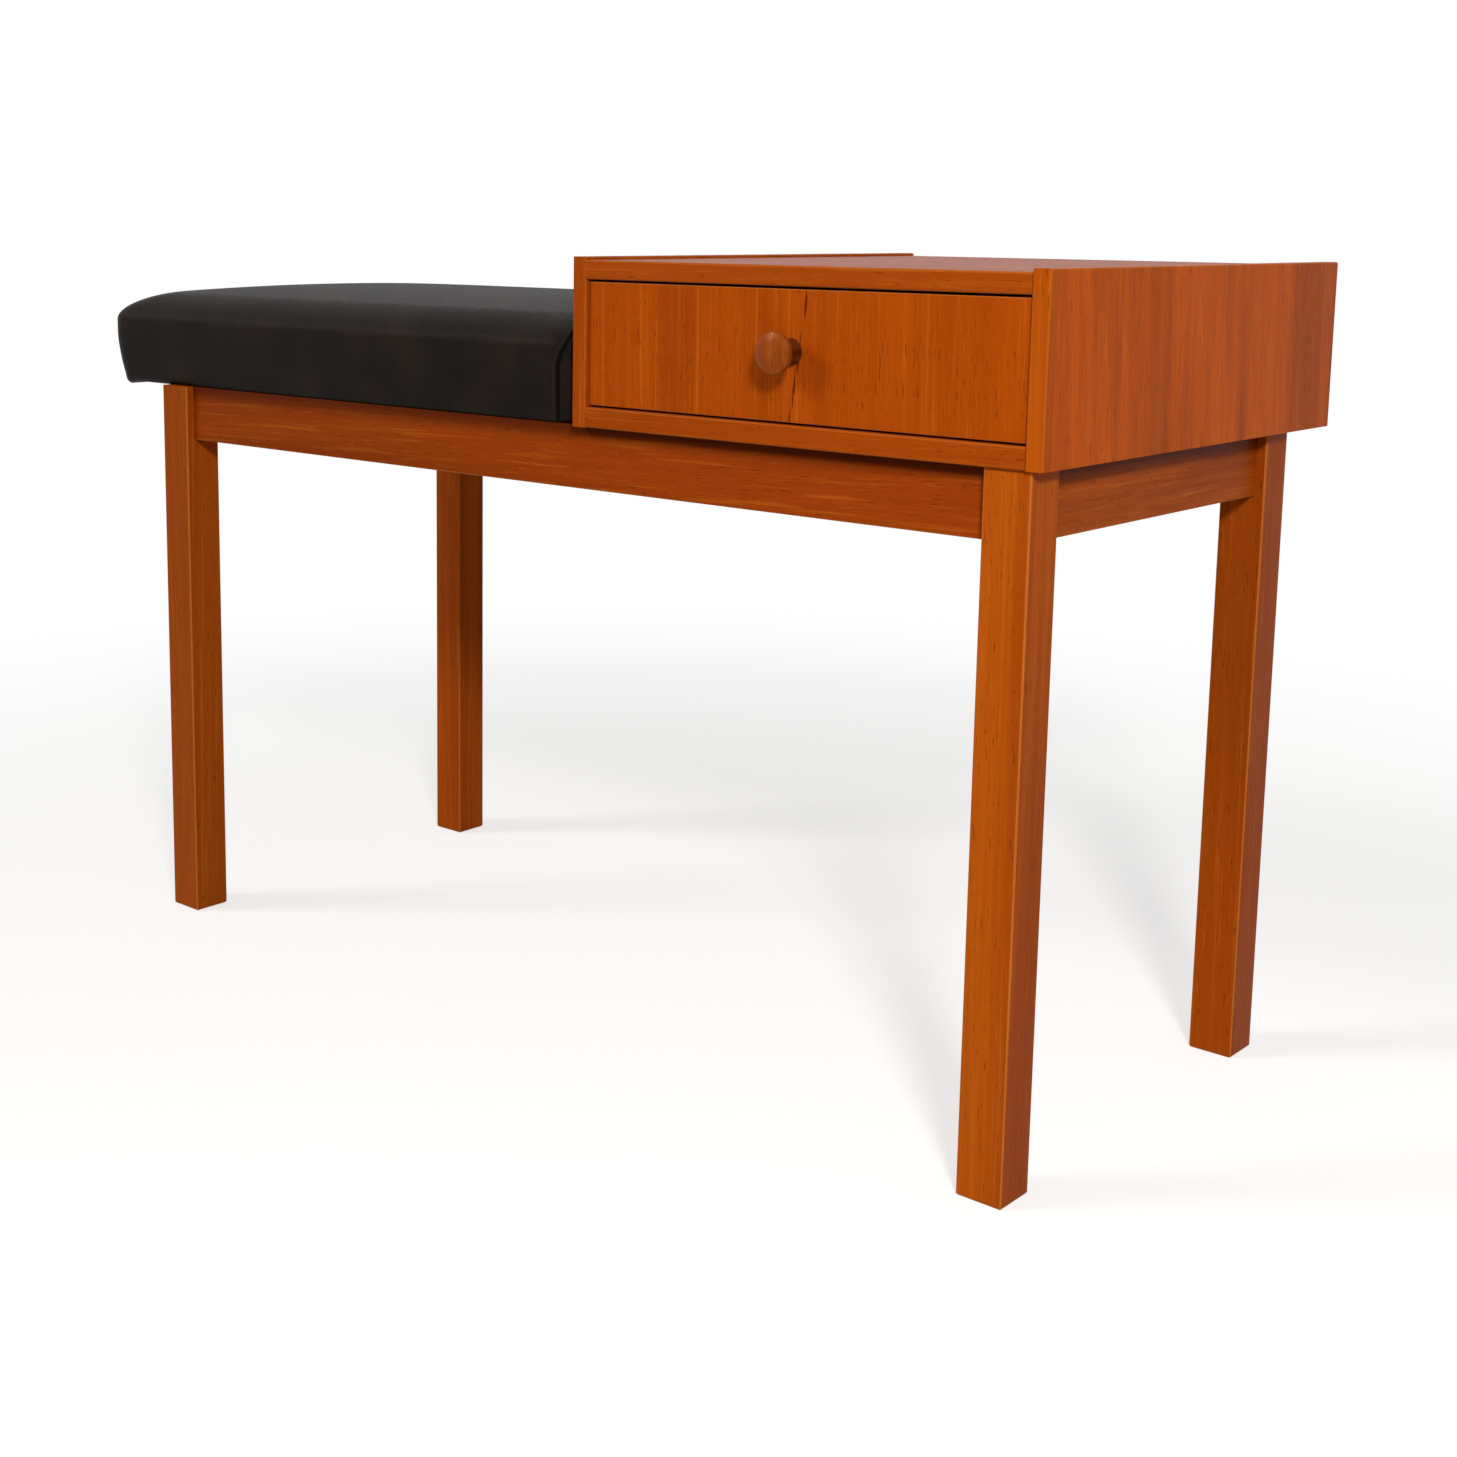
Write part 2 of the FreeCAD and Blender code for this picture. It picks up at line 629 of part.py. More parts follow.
def crown_loops(margin):
    """Loops over the seat's rounded edge and in towards the middle of its crown."""
    half_length, half_width, radius = size("seat_half_length"), size("seat_half_width"), size("seat_corner_radius")
    run = size("seat_edge_run")
    across = edge_profile(half_width, size("crown_power_across"))
    along = [(height, inset) for inset, height in edge_profile(half_length, size("crown_power_along"))]
    insets = [run * (1 - math.cos(math.pi / 2 * step / 8)) for step in range(1, 9)]
    insets += [run + (half_width - run) * size("crown_reach") * step / 10 for step in range(1, 11)]
    loops = []
    for inset in insets:
        height = between(inset, across)
        level = min(1.0, inset / run)
        drawn_across = inset + margin * (1 - level)
        drawn_along = between(height, along) + margin * (1 - level)
        corner = min(radius + inset / 4, (half_width - inset) * 0.8)
        loops.append(rounded_loop(half_length - drawn_along, half_width - drawn_across, corner,
                                  height - margin * level))
    return loops


def cushion_skin(margin, low):
    """The faces of the seat's form drawn in by a margin, open below, with its lowest loop."""
    loops = wall_loops(margin, low) + crown_loops(margin)
    faces = Part.makeLoft(loops, False, True).Faces
    return faces + [Part.Face(loops[-1])], loops[0]


def solid_feature(name, faces):
    """A solid closed from faces that come from a formula."""
    shell = Part.makeShell(faces)
    shell.sewShape()
    item = doc.addObject("Part::Feature", name)
    item.Shape = Part.makeSolid(shell)
    return item


def staple_pair():
    """A wire staple, crown down with its legs up, and the space that it is driven into."""
    made = []
    for kind, gap in (("piece", "0"), ("space", "thread_gap")):
        wide = f"(staple_wire + 2 * {gap})"
        long = f"(staple_crown + 2 * {gap})"
        deep = f"(staple_wire * 3 / 5 + {gap})"
        crown = box(f"staple_{kind}_crown", long, wide, deep, f"-{long} / 2", f"-{wide} / 2", "0")
        left = box(f"staple_{kind}_left", wide, wide, f"staple_leg + {gap}", f"-{long} / 2", f"-{wide} / 2", "0")
        right = box(f"staple_{kind}_right", wide, wide, f"staple_leg + {gap}",
                    f"{long} / 2 - {wide}", f"-{wide} / 2", "0")
        made.append(fuse(f"staple_{kind}", [crown, left, right]))
    return made


def staple_spots():
    """Places for staples along the turned-in hem: (x, y, quarter turn) rows on all four sides."""
    reach = "(board_inset + staple_inset)"
    rows = []
    for half_run, half_across, quarter in (("seat_half_length", "seat_half_width", 0),
                                           ("seat_half_width", "seat_half_length", 1)):
        run = 2 * (size(half_run) - size("board_inset") - size("hem_width"))
        count = max(2, int(run // size("staple_spacing")))
        for index in range(count):
            step = f"((2 * {index} + 1) / {count} - 1)"
            along = f"({half_run} - board_inset - hem_width) * {step}"
            for side in ("-", "+"):
                across = f"{side} ({half_across} - {reach})"
                if quarter:
                    rows.append((f"seat_middle_x {across}", f"seat_middle_y + {along}", quarter))
                else:
                    rows.append((f"seat_middle_x + {along}", f"seat_middle_y {across}", quarter))
    return rows


def build_seat(screw_bores):
    """Plywood board, foam pad with a skirt round the board, leather cover turned in under it, and staples."""
    board_blank = block("seat_board_blank", "2 * (seat_half_length - board_inset)",
                        "2 * (seat_half_width - board_inset)", "board_thickness")
    soften(board_blank, lambda edge: runs_along(edge, "z"), "board_corner_radius")
    place(board_blank, "seat_middle_x", "seat_middle_y", "leg_height + cover_thickness + board_thickness / 2")

    staple, staple_space = staple_pair()
    staples, spaces = [], []
    for index, (x, y, quarter) in enumerate(staple_spots(), start=1):
        turn = Rotation(UP, 90 * quarter)
        staples += copies(staple, f"staple_{index}", [(x, y, "leg_height")], turn)
        spaces += copies(staple_space, f"staple_space_{index}", [(x, y, "leg_height")], turn)
    node(group("cover_staples", staples), "cover_staples")
    holes = group("staple_spaces", spaces)
    node(carve("seat_board", board_blank, [holes, screw_bores]), "seat_board")

    cover = size("cover_thickness")
    foam_faces, foam_low = cushion_skin(cover + size("foam_gap"), cover)
    foam_form = solid_feature("foam_form", foam_faces + [Part.Face(foam_low)])
    node(carve("seat_foam", foam_form, [board_blank]), "seat_foam")

    # The cover is a skin with its lower edge turned in flat under the board.
    outer_faces, outer_low = cushion_skin(0.0, 0.0)
    inner_faces, inner_low = cushion_skin(cover, cover)
    hem = size("board_inset") + size("hem_width")
    mouths = [rounded_loop(size("seat_half_length") - hem, size("seat_half_width") - hem,
                           size("hem_corner_radius"), height) for height in (0.0, cover)]
    hem_faces = [Part.makeFace([loop, mouth], "Part::FaceMakerBullseye")
                 for loop, mouth in zip((outer_low, inner_low), mouths)]
    hem_faces += Part.makeLoft(mouths, False, True).Faces
    cover_form = solid_feature("cover_form", outer_faces + inner_faces + hem_faces)
    node(carve("seat_cover", cover_form, [holes, screw_bores]), "seat_cover")


# Cabinet

def build_cabinet(screw_bores):
    """Two sides, top, bottom, their solid front edges, a pinned back in its rebate, dowels and runners."""
    dowel, bore = dowel_pair("panel_dowel", "panel_dowel_diameter", "(panel_dowel_in_side + panel_dowel_in_panel)")
    shift = "(panel_dowel_in_panel - panel_dowel_in_side) / 2"
    dowel_x = (f"bay_left + {shift}", f"bay_right - {shift}")
    dowel_y = ("panel_front + panel_dowel_margin", "panel_middle_y", "cabinet_back - panel_dowel_margin")
    dowel_spots = [(x, y, z) for x in dowel_x for y in dowel_y for z in ("top_middle_z", "bottom_middle_z")]
    along_x = facing(Vector(1, 0, 0))
    node(group("cabinet_dowels", copies(dowel, "cabinet_dowel", dowel_spots, along_x)), "cabinet_dowels")
    dowel_bores = group("cabinet_dowel_bores", copies(bore, "cabinet_dowel_bore", dowel_spots, along_x))

    pin, pin_space = pin_pair("back_pin", "(back_thickness + pin_bite)")
    lap_x = ("bay_left - back_lap / 2", "bay_right + back_lap / 2")
    lap_z = ("bay_high + back_lap / 2", "bay_low - back_lap / 2")
    side_z = ("bay_low + pin_margin / 2", "bay_high - pin_margin / 2")
    top_x = ("bay_left + pin_margin", "cabinet_middle_x", "bay_right - pin_margin")
    pin_spots = [(x, "cabinet_back", z) for x in lap_x for z in side_z]
    pin_spots += [(x, "cabinet_back", z) for x in top_x for z in lap_z]
    to_front = facing(Vector(0, -1, 0))
    node(group("back_panel_pins", copies(pin, "back_panel_pin", pin_spots, to_front)), "back_panel_pins")
    pin_bores = group("back_pin_bores", copies(pin_space, "back_pin_bore", pin_spots, to_front))

    rebate = box("back_rebate", "bay_width + 2 * (back_lap + back_gap)", "2 * back_thickness",
                 "bay_high - bay_low + 2 * (back_lap + back_gap)",
                 "bay_left - back_lap - back_gap", "bay_back", "bay_low - back_lap - back_gap")
    back = block("cabinet_back_blank", "bay_width + 2 * back_lap", "back_thickness",
                 "bay_high - bay_low + 2 * back_lap")
    place(back, "cabinet_middle_x", "bay_back + back_thickness / 2", "(bay_low + bay_high) / 2")
    node(carve("cabinet_back", back, [pin_bores]), "cabinet_back")

    runner_bores = build_runners()
    side_tools = [rebate, dowel_bores, pin_bores, runner_bores]
    for hand, x in (("left", "cabinet_left + side_thickness / 2"), ("right", "cabinet_right - side_thickness / 2")):
        side = block(f"cabinet_side_{hand}_blank", "side_thickness", "panel_depth", "cabinet_height")
        soften(side, lambda edge: runs_along(edge, "y") and edge.BoundBox.ZMax > 0, "lipping_arris")
        place(side, x, "panel_middle_y", "leg_height + cabinet_height / 2")
        node(carve(f"cabinet_side_{hand}", side, side_tools), f"cabinet_side_{hand}")
        lipping = block(f"side_lipping_{hand}", "side_thickness", "lipping_depth", "cabinet_height")
        soften(lipping, lambda edge: is_front_or_upper(edge), "lipping_arris")
        place(lipping, x, "cabinet_front + lipping_depth / 2", "leg_height + cabinet_height / 2")
        node(lipping, f"side_lipping_{hand}")

    for name, rail, thickness, z in (("cabinet_top", "top_rail", "top_thickness", "top_middle_z"),
                                     ("cabinet_bottom", "bottom_rail", "bottom_thickness", "bottom_middle_z")):
        panel = block(name + "_blank", "bay_width", "panel_depth", thickness)
        place(panel, "cabinet_middle_x", "panel_middle_y", z)
        node(carve(name, panel, [rebate, dowel_bores, pin_bores, screw_bores]), name)
        edging = block(rail, "bay_width", "lipping_depth", thickness)
        soften(edging, lambda edge: runs_along(edge, "x") and edge.BoundBox.YMax < 0, "rail_arris")
        place(edging, "cabinet_middle_x", "cabinet_front + lipping_depth / 2", z)
        node(edging, rail)


def is_front_or_upper(edge):
    """Whether an edge of a centred lipping is an upright front one or runs back along its top."""
    upright_front = runs_along(edge, "z") and edge.BoundBox.YMax < 0
    along_top = runs_along(edge, "y") and edge.BoundBox.ZMin > 0
    return upright_front or along_top


def build_runners():
    """Two runners screwed to the sides, on which the drawer hangs by its grooves; returns the screws' bores."""
    screw, bore = screw_pair(
        "runner_screw", "runner_screw_diameter", "(runner_thickness + screw_bite)",
        "runner_screw_head_diameter", "runner_screw_head_height", "runner_screw_slot_depth")
    screw_y = ("runner_front + runner_screw_margin", "runner_front + runner_length - runner_screw_margin")
    screws, spaces = [], []
    for hand, face, direction in (("left", "bay_left + runner_thickness", -1),
                                  ("right", "bay_right - runner_thickness", 1)):
        turn = facing(Vector(direction, 0, 0))
        spots = [(face, y, "runner_z") for y in screw_y]
        screws += copies(screw, f"runner_screw_{hand}", spots, turn)
        spaces += copies(bore, f"runner_screw_bore_{hand}", spots, turn)
    node(group("runner_screws", screws), "runner_screws")
    bores = group("runner_screw_bores", spaces)
    for hand, x in (("left", "bay_left + runner_thickness / 2"), ("right", "bay_right - runner_thickness / 2")):
        runner = block(f"drawer_runner_{hand}_blank", "runner_thickness", "runner_length", "runner_height")
        place(runner, x, "runner_front + runner_length / 2", "runner_z")
        node(carve(f"drawer_runner_{hand}", runner, [bores]), f"drawer_runner_{hand}")
    return bores


# Drawer

def dovetail(name, hand, end, z):
    """One dovetail on the end of a drawer side, wider at its tip than at its root."""
    tail = doc.addObject("Part::Wedge", name)
    length = "tail_length" if end == "front" else "drawer_back_thickness"
    near, far = ("tail_tip", "tail_root") if end == "front" else ("tail_root", "tail_tip")
    bind(tail, Xmin="0", Xmax="drawer_side_thickness", X2min="0", X2max="drawer_side_thickness",
         Ymin="0", Ymax=length, Zmin=f"-{near} / 2", Zmax=f"{near} / 2",
         Z2min=f"-{far} / 2", Z2max=f"{far} / 2")
    outer = "box_half_width" if hand == "right" else "-box_half_width"
    inward = " - drawer_side_thickness" if hand == "right" else ""
    y = "drawer_rear - tail_length" if end == "front" else "box_inner_end"
    place(tail, f"cabinet_middle_x + {outer}{inward}", y, z)
    return tail


def build_drawer():
    """A dovetailed box with a thin bottom in grooves, hung by a slot in each side, and its front."""
    tails = {(hand, end): [] for hand in ("left", "right") for end in ("front", "back")}
    for (hand, end), pieces in tails.items():
        for level, z in (("low", "box_low + tail_rise"), ("high", "box_high - tail_drop")):
            pieces.append(dovetail(f"tail_{hand}_{end}_{level}", hand, end, z))

    slot_height = "runner_height + runner_top_gap + runner_low_gap"
    slot_low = "runner_z - runner_height / 2 - runner_low_gap"
    slot_length = "drawer_side_length + 2 * tail_length"
    slots = group("runner_slots", [
        box(f"runner_slot_{hand}", "slot_depth", slot_length, slot_height, x, "drawer_rear", slot_low)
        for hand, x in (("left", "cabinet_middle_x - box_half_width"),
                        ("right", "cabinet_middle_x + box_half_width - slot_depth"))])
    tray_half = "(box_half_width - drawer_side_thickness + tray_groove_depth)"
    tray_groove = box("tray_groove", f"2 * {tray_half}", "drawer_side_length + 2 * tray_groove_depth",
                      "tray_thickness + 2 * tray_gap", f"cabinet_middle_x - {tray_half}",
                      "drawer_rear - tray_groove_depth", "tray_low - tray_gap")

    pin, pin_space = pin_pair("tray_pin", "(tray_thickness + pin_bite)")
    pin_spots = [(f"cabinet_middle_x + {step} * tray_pin_spread / 2", "box_end - drawer_back_thickness / 2", "tray_low")
                 for step in (-1, 0, 1)]
    node(group("drawer_bottom_pins", copies(pin, "drawer_bottom_pin", pin_spots)), "drawer_bottom_pins")
    pin_bores = group("tray_pin_bores", copies(pin_space, "tray_pin_bore", pin_spots))

    for hand, sign in (("left", "-"), ("right", "+")):
        name = f"drawer_side_{hand}"
        plank = block(name + "_plank", "drawer_side_thickness", "box_inner_end - drawer_rear", "drawer_side_height")
        place(plank, f"cabinet_middle_x {sign} (box_half_width - drawer_side_thickness / 2)",
              "(drawer_rear + box_inner_end) / 2", "(box_low + box_high) / 2")
        joined = fuse(name + "_tailed", [plank] + tails[hand, "front"] + tails[hand, "back"])
        node(carve(name, joined, [slots, tray_groove]), name)

    back = block("drawer_back_blank", "2 * box_half_width", "drawer_back_thickness",
                 "box_high - tray_high - tray_gap")
    place(back, "cabinet_middle_x", "box_end - drawer_back_thickness / 2", "(box_high + tray_high + tray_gap) / 2")
    back_tails = group("back_tails", tails["left", "back"] + tails["right", "back"])
    node(carve("drawer_back", back, [back_tails, slots, pin_bores]), "drawer_back")

    tray = block("drawer_bottom_blank", f"2 * ({tray_half} - tray_gap)",
                 "box_end - drawer_rear + tray_groove_depth - tray_gap", "tray_thickness")
    place(tray, "cabinet_middle_x", "(box_end + drawer_rear - tray_groove_depth + tray_gap) / 2",
          "tray_low + tray_thickness / 2")
    node(carve("drawer_bottom", tray, [pin_bores]), "drawer_bottom")

    front = block("drawer_front_blank", "drawer_front_width", "drawer_front_thickness", "drawer_front_height")
    soften(front, lambda edge: not runs_along(edge, "y") and edge.BoundBox.YMax < 0, "drawer_front_arris")
    place(front, "cabinet_middle_x", "drawer_face + drawer_front_thickness / 2", "drawer_middle_z")
    front_tails = group("front_tails", tails["left", "front"] + tails["right", "front"])
    node(carve("drawer_front", front, [front_tails, tray_groove, build_knob()]), "drawer_front")


def build_knob():
    """A turned knob and the screw that holds it from inside the drawer; returns the screw's bore."""
    body = doc.addObject("PartDesign::Body", "drawer_knob_blank")
    sketch = flat_sketch(body, "knob_profile", "XZ_Plane")
    foot = Vector(size("knob_foot_diameter") / 2, 0)
    neck = Vector(size("knob_neck_diameter") / 2, size("knob_neck_height"))
    rim_low = Vector(size("knob_head_diameter") / 2, size("knob_rim_low"))
    rim_high = Vector(size("knob_head_diameter") / 2, size("knob_rim_high"))
    nose = Vector(0, size("knob_reach"))
    # The flare is hollow: its arc bulges towards the axis and the rim.
    chord = rim_low - neck
    sag_reach = size("knob_flare_radius")
    sag = sag_reach - math.sqrt(sag_reach ** 2 - (chord.Length / 2) ** 2)
    normal = Vector(chord.y, -chord.x).normalize()
    flare_middle = (neck + rim_low) * 0.5 - normal * sag
    dome_rise = nose.y - rim_high.y
    dome_radius = (rim_high.x ** 2 + dome_rise ** 2) / (2 * dome_rise)
    dome_turn = math.asin(rim_high.x / dome_radius) / 2
    dome_middle = Vector(dome_radius * math.sin(dome_turn), nose.y - dome_radius * (1 - math.cos(dome_turn)))
    sketch.addGeometry([
        Part.LineSegment(Vector(), foot),
        Part.LineSegment(foot, neck),
        Part.Arc(rim_low, flare_middle, neck),
        Part.LineSegment(rim_low, rim_high),
        Part.Arc(rim_high, dome_middle, nose),
        Part.LineSegment(nose, Vector()),
    ], False)
    joints = ((0, 2, 1, 1), (1, 2, 2, 2), (2, 1, 3, 1), (3, 2, 4, 1), (4, 2, 5, 1), (5, 2, 0, 1))
    sketch.addConstraint([Sketcher.Constraint("Coincident", *joint) for joint in joints])
    sketch.addConstraint([
        Sketcher.Constraint("Coincident", 0, 1, -1, 1),
        Sketcher.Constraint("PointOnObject", 0, 2, -1),
        Sketcher.Constraint("PointOnObject", 5, 1, -2),
        Sketcher.Constraint("Vertical", 3),
        Sketcher.Constraint("PointOnObject", 4, 3, -2),
    ])
    for way, line, end, value, expression in (
        ("DistanceX", 0, 2, foot.x, "knob_foot_diameter / 2"),
        ("DistanceX", 1, 2, neck.x, "knob_neck_diameter / 2"),
        ("DistanceY", 1, 2, neck.y, "knob_neck_height"),
        ("DistanceX", 3, 1, rim_low.x, "knob_head_diameter / 2"),
        ("DistanceY", 3, 1, rim_low.y, "knob_rim_low"),
        ("DistanceY", 3, 2, rim_high.y, "knob_rim_high"),
        ("DistanceY", 5, 1, nose.y, "knob_reach"),
    ):
        number = sketch.addConstraint(Sketcher.Constraint(way, -1, 1, line, end, value))
        sketch.setExpression(f"Constraints[{number}]", with_sheets(expression))
    number = sketch.addConstraint(Sketcher.Constraint("Radius", 2, size("knob_flare_radius")))
    sketch.setExpression(f"Constraints[{number}]", with_sheets("knob_flare_radius"))
    turned = body.newObject("PartDesign::Revolution", "knob_turning")
    turned.Profile = sketch
    turned.ReferenceAxis = (sketch, ["V_Axis"])
    turned.Angle = 360
    doc.recompute()
    rim = size("knob_head_diameter")
    soften(body, lambda edge: edge.BoundBox.XLength > rim - 0.01, "knob_rim_round")
    place(body, "cabinet_middle_x", "drawer_face", "knob_z", facing(Vector(0, -1, 0)))

    length = "(drawer_front_thickness + knob_screw_bite)"
    shank = round_bar("knob_screw_shank", "knob_screw_diameter / 2", length)
    head = doc.addObject("Part::Cylinder", "knob_screw_head")
    bind(head, Radius="knob_screw_head_diameter / 2", Height="knob_screw_head_height")
    place(head, z="-knob_screw_head_height")
    slot = box("knob_screw_slot", "knob_screw_head_diameter", "screw_slot_width", "screw_slot_depth",
               "-knob_screw_head_diameter / 2", "-screw_slot_width / 2", "-knob_screw_head_height")
    screw = carve("knob_screw", fuse("knob_screw_blank", [shank, head]), [slot])
    place(screw, "cabinet_middle_x", "drawer_rear", "knob_z", facing(Vector(0, -1, 0)))
    node(screw, "knob_screw")
    thread = round_bar("knob_thread", "knob_screw_diameter / 2 + thread_gap", f"{length} + thread_gap")
    place(thread, "cabinet_middle_x", "drawer_rear", "knob_z", facing(Vector(0, -1, 0)))
    node(carve("drawer_knob", body, [thread]), "drawer_knob")
    passage = round_bar("knob_passage", "knob_screw_diameter / 2 + knob_screw_slack", length)
    place(passage, "cabinet_middle_x", "drawer_rear", "knob_z", facing(Vector(0, -1, 0)))
    return passage


# Checks and export

def check_document():
    """Stop on any object that failed, and on any sub-part without a sound shape."""
    failed = [item.Name for item in doc.Objects if {"Invalid", "Error"} & set(item.State)]
    if failed:
        raise RuntimeError("failed objects: " + ", ".join(failed))
    for name, item in NODES:
        shape = item.Shape
        if shape.isNull() or not shape.isValid() or not shape.Solids:
            raise RuntimeError("unsound shape: " + name)


def export_parts():
    """Write one file for each sub-part, and print what it holds."""
    os.makedirs("parts", exist_ok=True)
    for name, item in NODES:
        shape = item.Shape
        shape.exportStep(f"parts/{name}.step")
        print(f"{name}: {len(shape.Solids)} solids, {shape.Volume / 1000:.1f} cm3")


write_sheets()
frame_bores = build_frame()
frame_screw_bores = build_frame_screws()
build_cross_rail(frame_bores, frame_screw_bores)
build_corner_blocks(frame_screw_bores)
build_seat(frame_screw_bores)
build_cabinet(frame_screw_bores)
build_drawer()
doc.recompute()
check_document()
export_parts()
whole = Part.makeCompound([item.Shape for name, item in NODES]).BoundBox
print(f"whole: x {whole.XMin:.2f} to {whole.XMax:.2f}, y {whole.YMin:.2f} to {whole.YMax:.2f}, "
      f"z {whole.ZMin:.2f} to {whole.ZMax:.2f}")
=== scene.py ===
"""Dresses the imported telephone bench: oiled teak, a black leather seat, and a plain studio round it."""

import logging
import math
from dataclasses import dataclass, field
from enum import Enum

import bpy
import numpy as np
from bpy.types import Material, Mesh, Node, NodeSocket, NodeTree, Object, bpy_prop_collection
from mathutils import Matrix


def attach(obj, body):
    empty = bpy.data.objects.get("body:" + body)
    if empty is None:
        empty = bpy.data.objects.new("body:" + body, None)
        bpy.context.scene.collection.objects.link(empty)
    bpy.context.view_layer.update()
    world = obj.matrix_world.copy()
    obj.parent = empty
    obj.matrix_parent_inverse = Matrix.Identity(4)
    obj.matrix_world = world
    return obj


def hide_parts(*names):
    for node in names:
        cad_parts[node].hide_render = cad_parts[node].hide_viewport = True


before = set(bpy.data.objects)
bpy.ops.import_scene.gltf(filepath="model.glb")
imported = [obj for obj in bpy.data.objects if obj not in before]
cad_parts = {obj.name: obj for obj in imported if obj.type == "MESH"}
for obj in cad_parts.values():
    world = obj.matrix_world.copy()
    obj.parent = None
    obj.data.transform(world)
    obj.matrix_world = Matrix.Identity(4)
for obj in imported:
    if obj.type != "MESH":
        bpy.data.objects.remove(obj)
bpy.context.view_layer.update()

logging.basicConfig(level=logging.INFO, format="%(name)s: %(message)s")
log = logging.getLogger("telephone_bench")

MM = 0.001
WHITE = (1.0, 1.0, 1.0, 1.0)


def linear(code: str) -> tuple[float, float, float, float]:
    """Turn an sRGB hex colour into the linear one that a shader takes.

    Args:
        code: The colour as "#rrggbb".

    Returns:
        Linear red, green and blue, and an alpha of one.
    """
    parts = np.array([int(code[at:at + 2], 16) for at in (1, 3, 5)]) / 255.0
    low, high = parts / 12.92, ((parts + 0.055) / 1.055) ** 2.4
    return (*(float(part) for part in np.where(parts <= 0.04045, low, high)), 1.0)


def add_node(tree: NodeTree, kind: str, inputs: dict | None = None, **settings: object) -> Node:
    """Add a node, set its options, and fill or link its inputs.

    Args:
        tree: The node tree that it goes into.
        kind: The node's type name.
        inputs: A value or another node's output for each named or numbered input.
        settings: The node's own options.

    Returns:
        The new node.
    """
    made = tree.nodes.new(kind)
    for name, value in settings.items():
        setattr(made, name, value)
    for key, value in (inputs or {}).items():
        if isinstance(value, NodeSocket):
            tree.links.new(value, made.inputs[key])
        else:
            made.inputs[key].default_value = value
    return made


def start_material(name: str) -> tuple[Material, NodeTree, bpy_prop_collection]:
    """Make a material whose node tree holds only its coordinates.

    Args:
        name: The material's name.

    Returns:
        The material, its node tree, and the coordinates' outputs.
    """
    material = bpy.data.materials.new(name)
    material.use_nodes = True
    tree = material.node_tree
    tree.nodes.clear()
    return material, tree, add_node(tree, "ShaderNodeTexCoord").outputs


def stretched_noise(tree: NodeTree, spot: NodeSocket, cell: tuple[float, float, float], detail: float,
                    low: float, high: float) -> NodeSocket:
    """Draw noise in cells of a given size, eased from 0 to 1 between two of its values.

    Args:
        tree: The node tree that it goes into.
        spot: The coordinates in metres.
        cell: The cell's length along x, y and z, in metres.
        detail: How much finer noise is added.
        low: The value that becomes 0.
        high: The value that becomes 1.

    Returns:
        The pattern's output.
    """
    scaled = add_node(tree, "ShaderNodeMapping",
                      {"Vector": spot, "Scale": tuple(1.0 / part for part in cell)})
    noise = add_node(tree, "ShaderNodeTexNoise",
                     {"Vector": scaled.outputs[0], "Scale": 1.0, "Detail": detail, "Roughness": 0.55})
    eased = add_node(tree, "ShaderNodeMapRange",
                     {"Value": noise.outputs["Fac"], "From Min": low, "From Max": high},
                     interpolation_type="SMOOTHSTEP")
    return eased.outputs["Result"]


def lay_over(tree: NodeTree, factor: NodeSocket, share: float, under: object, over: object) -> NodeSocket:
    """Lay one colour over another by a share of a pattern.

    Args:
        tree: The node tree that it goes into.
        factor: The pattern, from 0 to 1.
        share: How much of the upper colour shows where the pattern is 1.
        under: The lower colour, or its output.
        over: The upper colour, or its output.

    Returns:
        The mixed colour's output.
    """
    part = add_node(tree, "ShaderNodeMath", {0: factor, 1: share}, operation="MULTIPLY")
    mixed = add_node(tree, "ShaderNodeMix", {0: part.outputs[0], 6: under, 7: over}, data_type="RGBA")
    return mixed.outputs[2]


def seen_rays(tree: NodeTree) -> NodeSocket:
    """Tell what is seen, straight, in a reflection or through a clear piece, from what lights the object.

    Args:
        tree: The node tree that it goes into.

    Returns:
        An output that is 1 where it is seen and 0 where it gives light.
    """
    path = add_node(tree, "ShaderNodeLightPath").outputs
    seen = path["Is Camera Ray"]
    for ray in ("Is Glossy Ray", "Is Transmission Ray"):
        seen = add_node(tree, "ShaderNodeMath", {0: seen, 1: path[ray]}, operation="MAXIMUM").outputs[0]
    return seen


def smooth_step(value: np.ndarray, low: float, high: float) -> np.ndarray:
    """Ease from 0 to 1 as a value goes from low to high: three times its square less twice its cube.

    Args:
        value: The values.
        low: Where the rise starts.
        high: Where it ends.

    Returns:
        The eased values.
    """
    part = np.clip((value - low) / (high - low), 0.0, 1.0)
    return part * part * (3.0 - 2.0 * part)


def hump(value: np.ndarray, rise: tuple[float, float], fall: tuple[float, float]) -> np.ndarray:
    """Ease from 0 up to 1 over one stretch of a value, and back to 0 over another.

    Args:
        value: The values.
        rise: Where the rise starts and ends.
        fall: Where the fall starts and ends.

    Returns:
        The eased values.
    """
    return smooth_step(value, *rise) * (1 - smooth_step(value, *fall))


def mesh_object(name: str, points: np.ndarray, faces: np.ndarray) -> Object:
    """Put whole arrays of points and quads into a smooth mesh whose object stands at the origin.

    Args:
        name: The object's name.
        points: Rows of x, y, z in metres.
        faces: Rows of four point numbers, where a triangle repeats its last.

    Returns:
        The new object, linked to the scene.
    """
    mesh = bpy.data.meshes.new(name)
    corners = [list(dict.fromkeys(row)) for row in faces.tolist()]
    mesh.from_pydata(points.tolist(), [], corners)
    mesh.polygons.foreach_set("use_smooth", np.ones(len(mesh.polygons), dtype=bool))
    mesh.update()
    made = bpy.data.objects.new(name, mesh)
    bpy.context.scene.collection.objects.link(made)
    return made


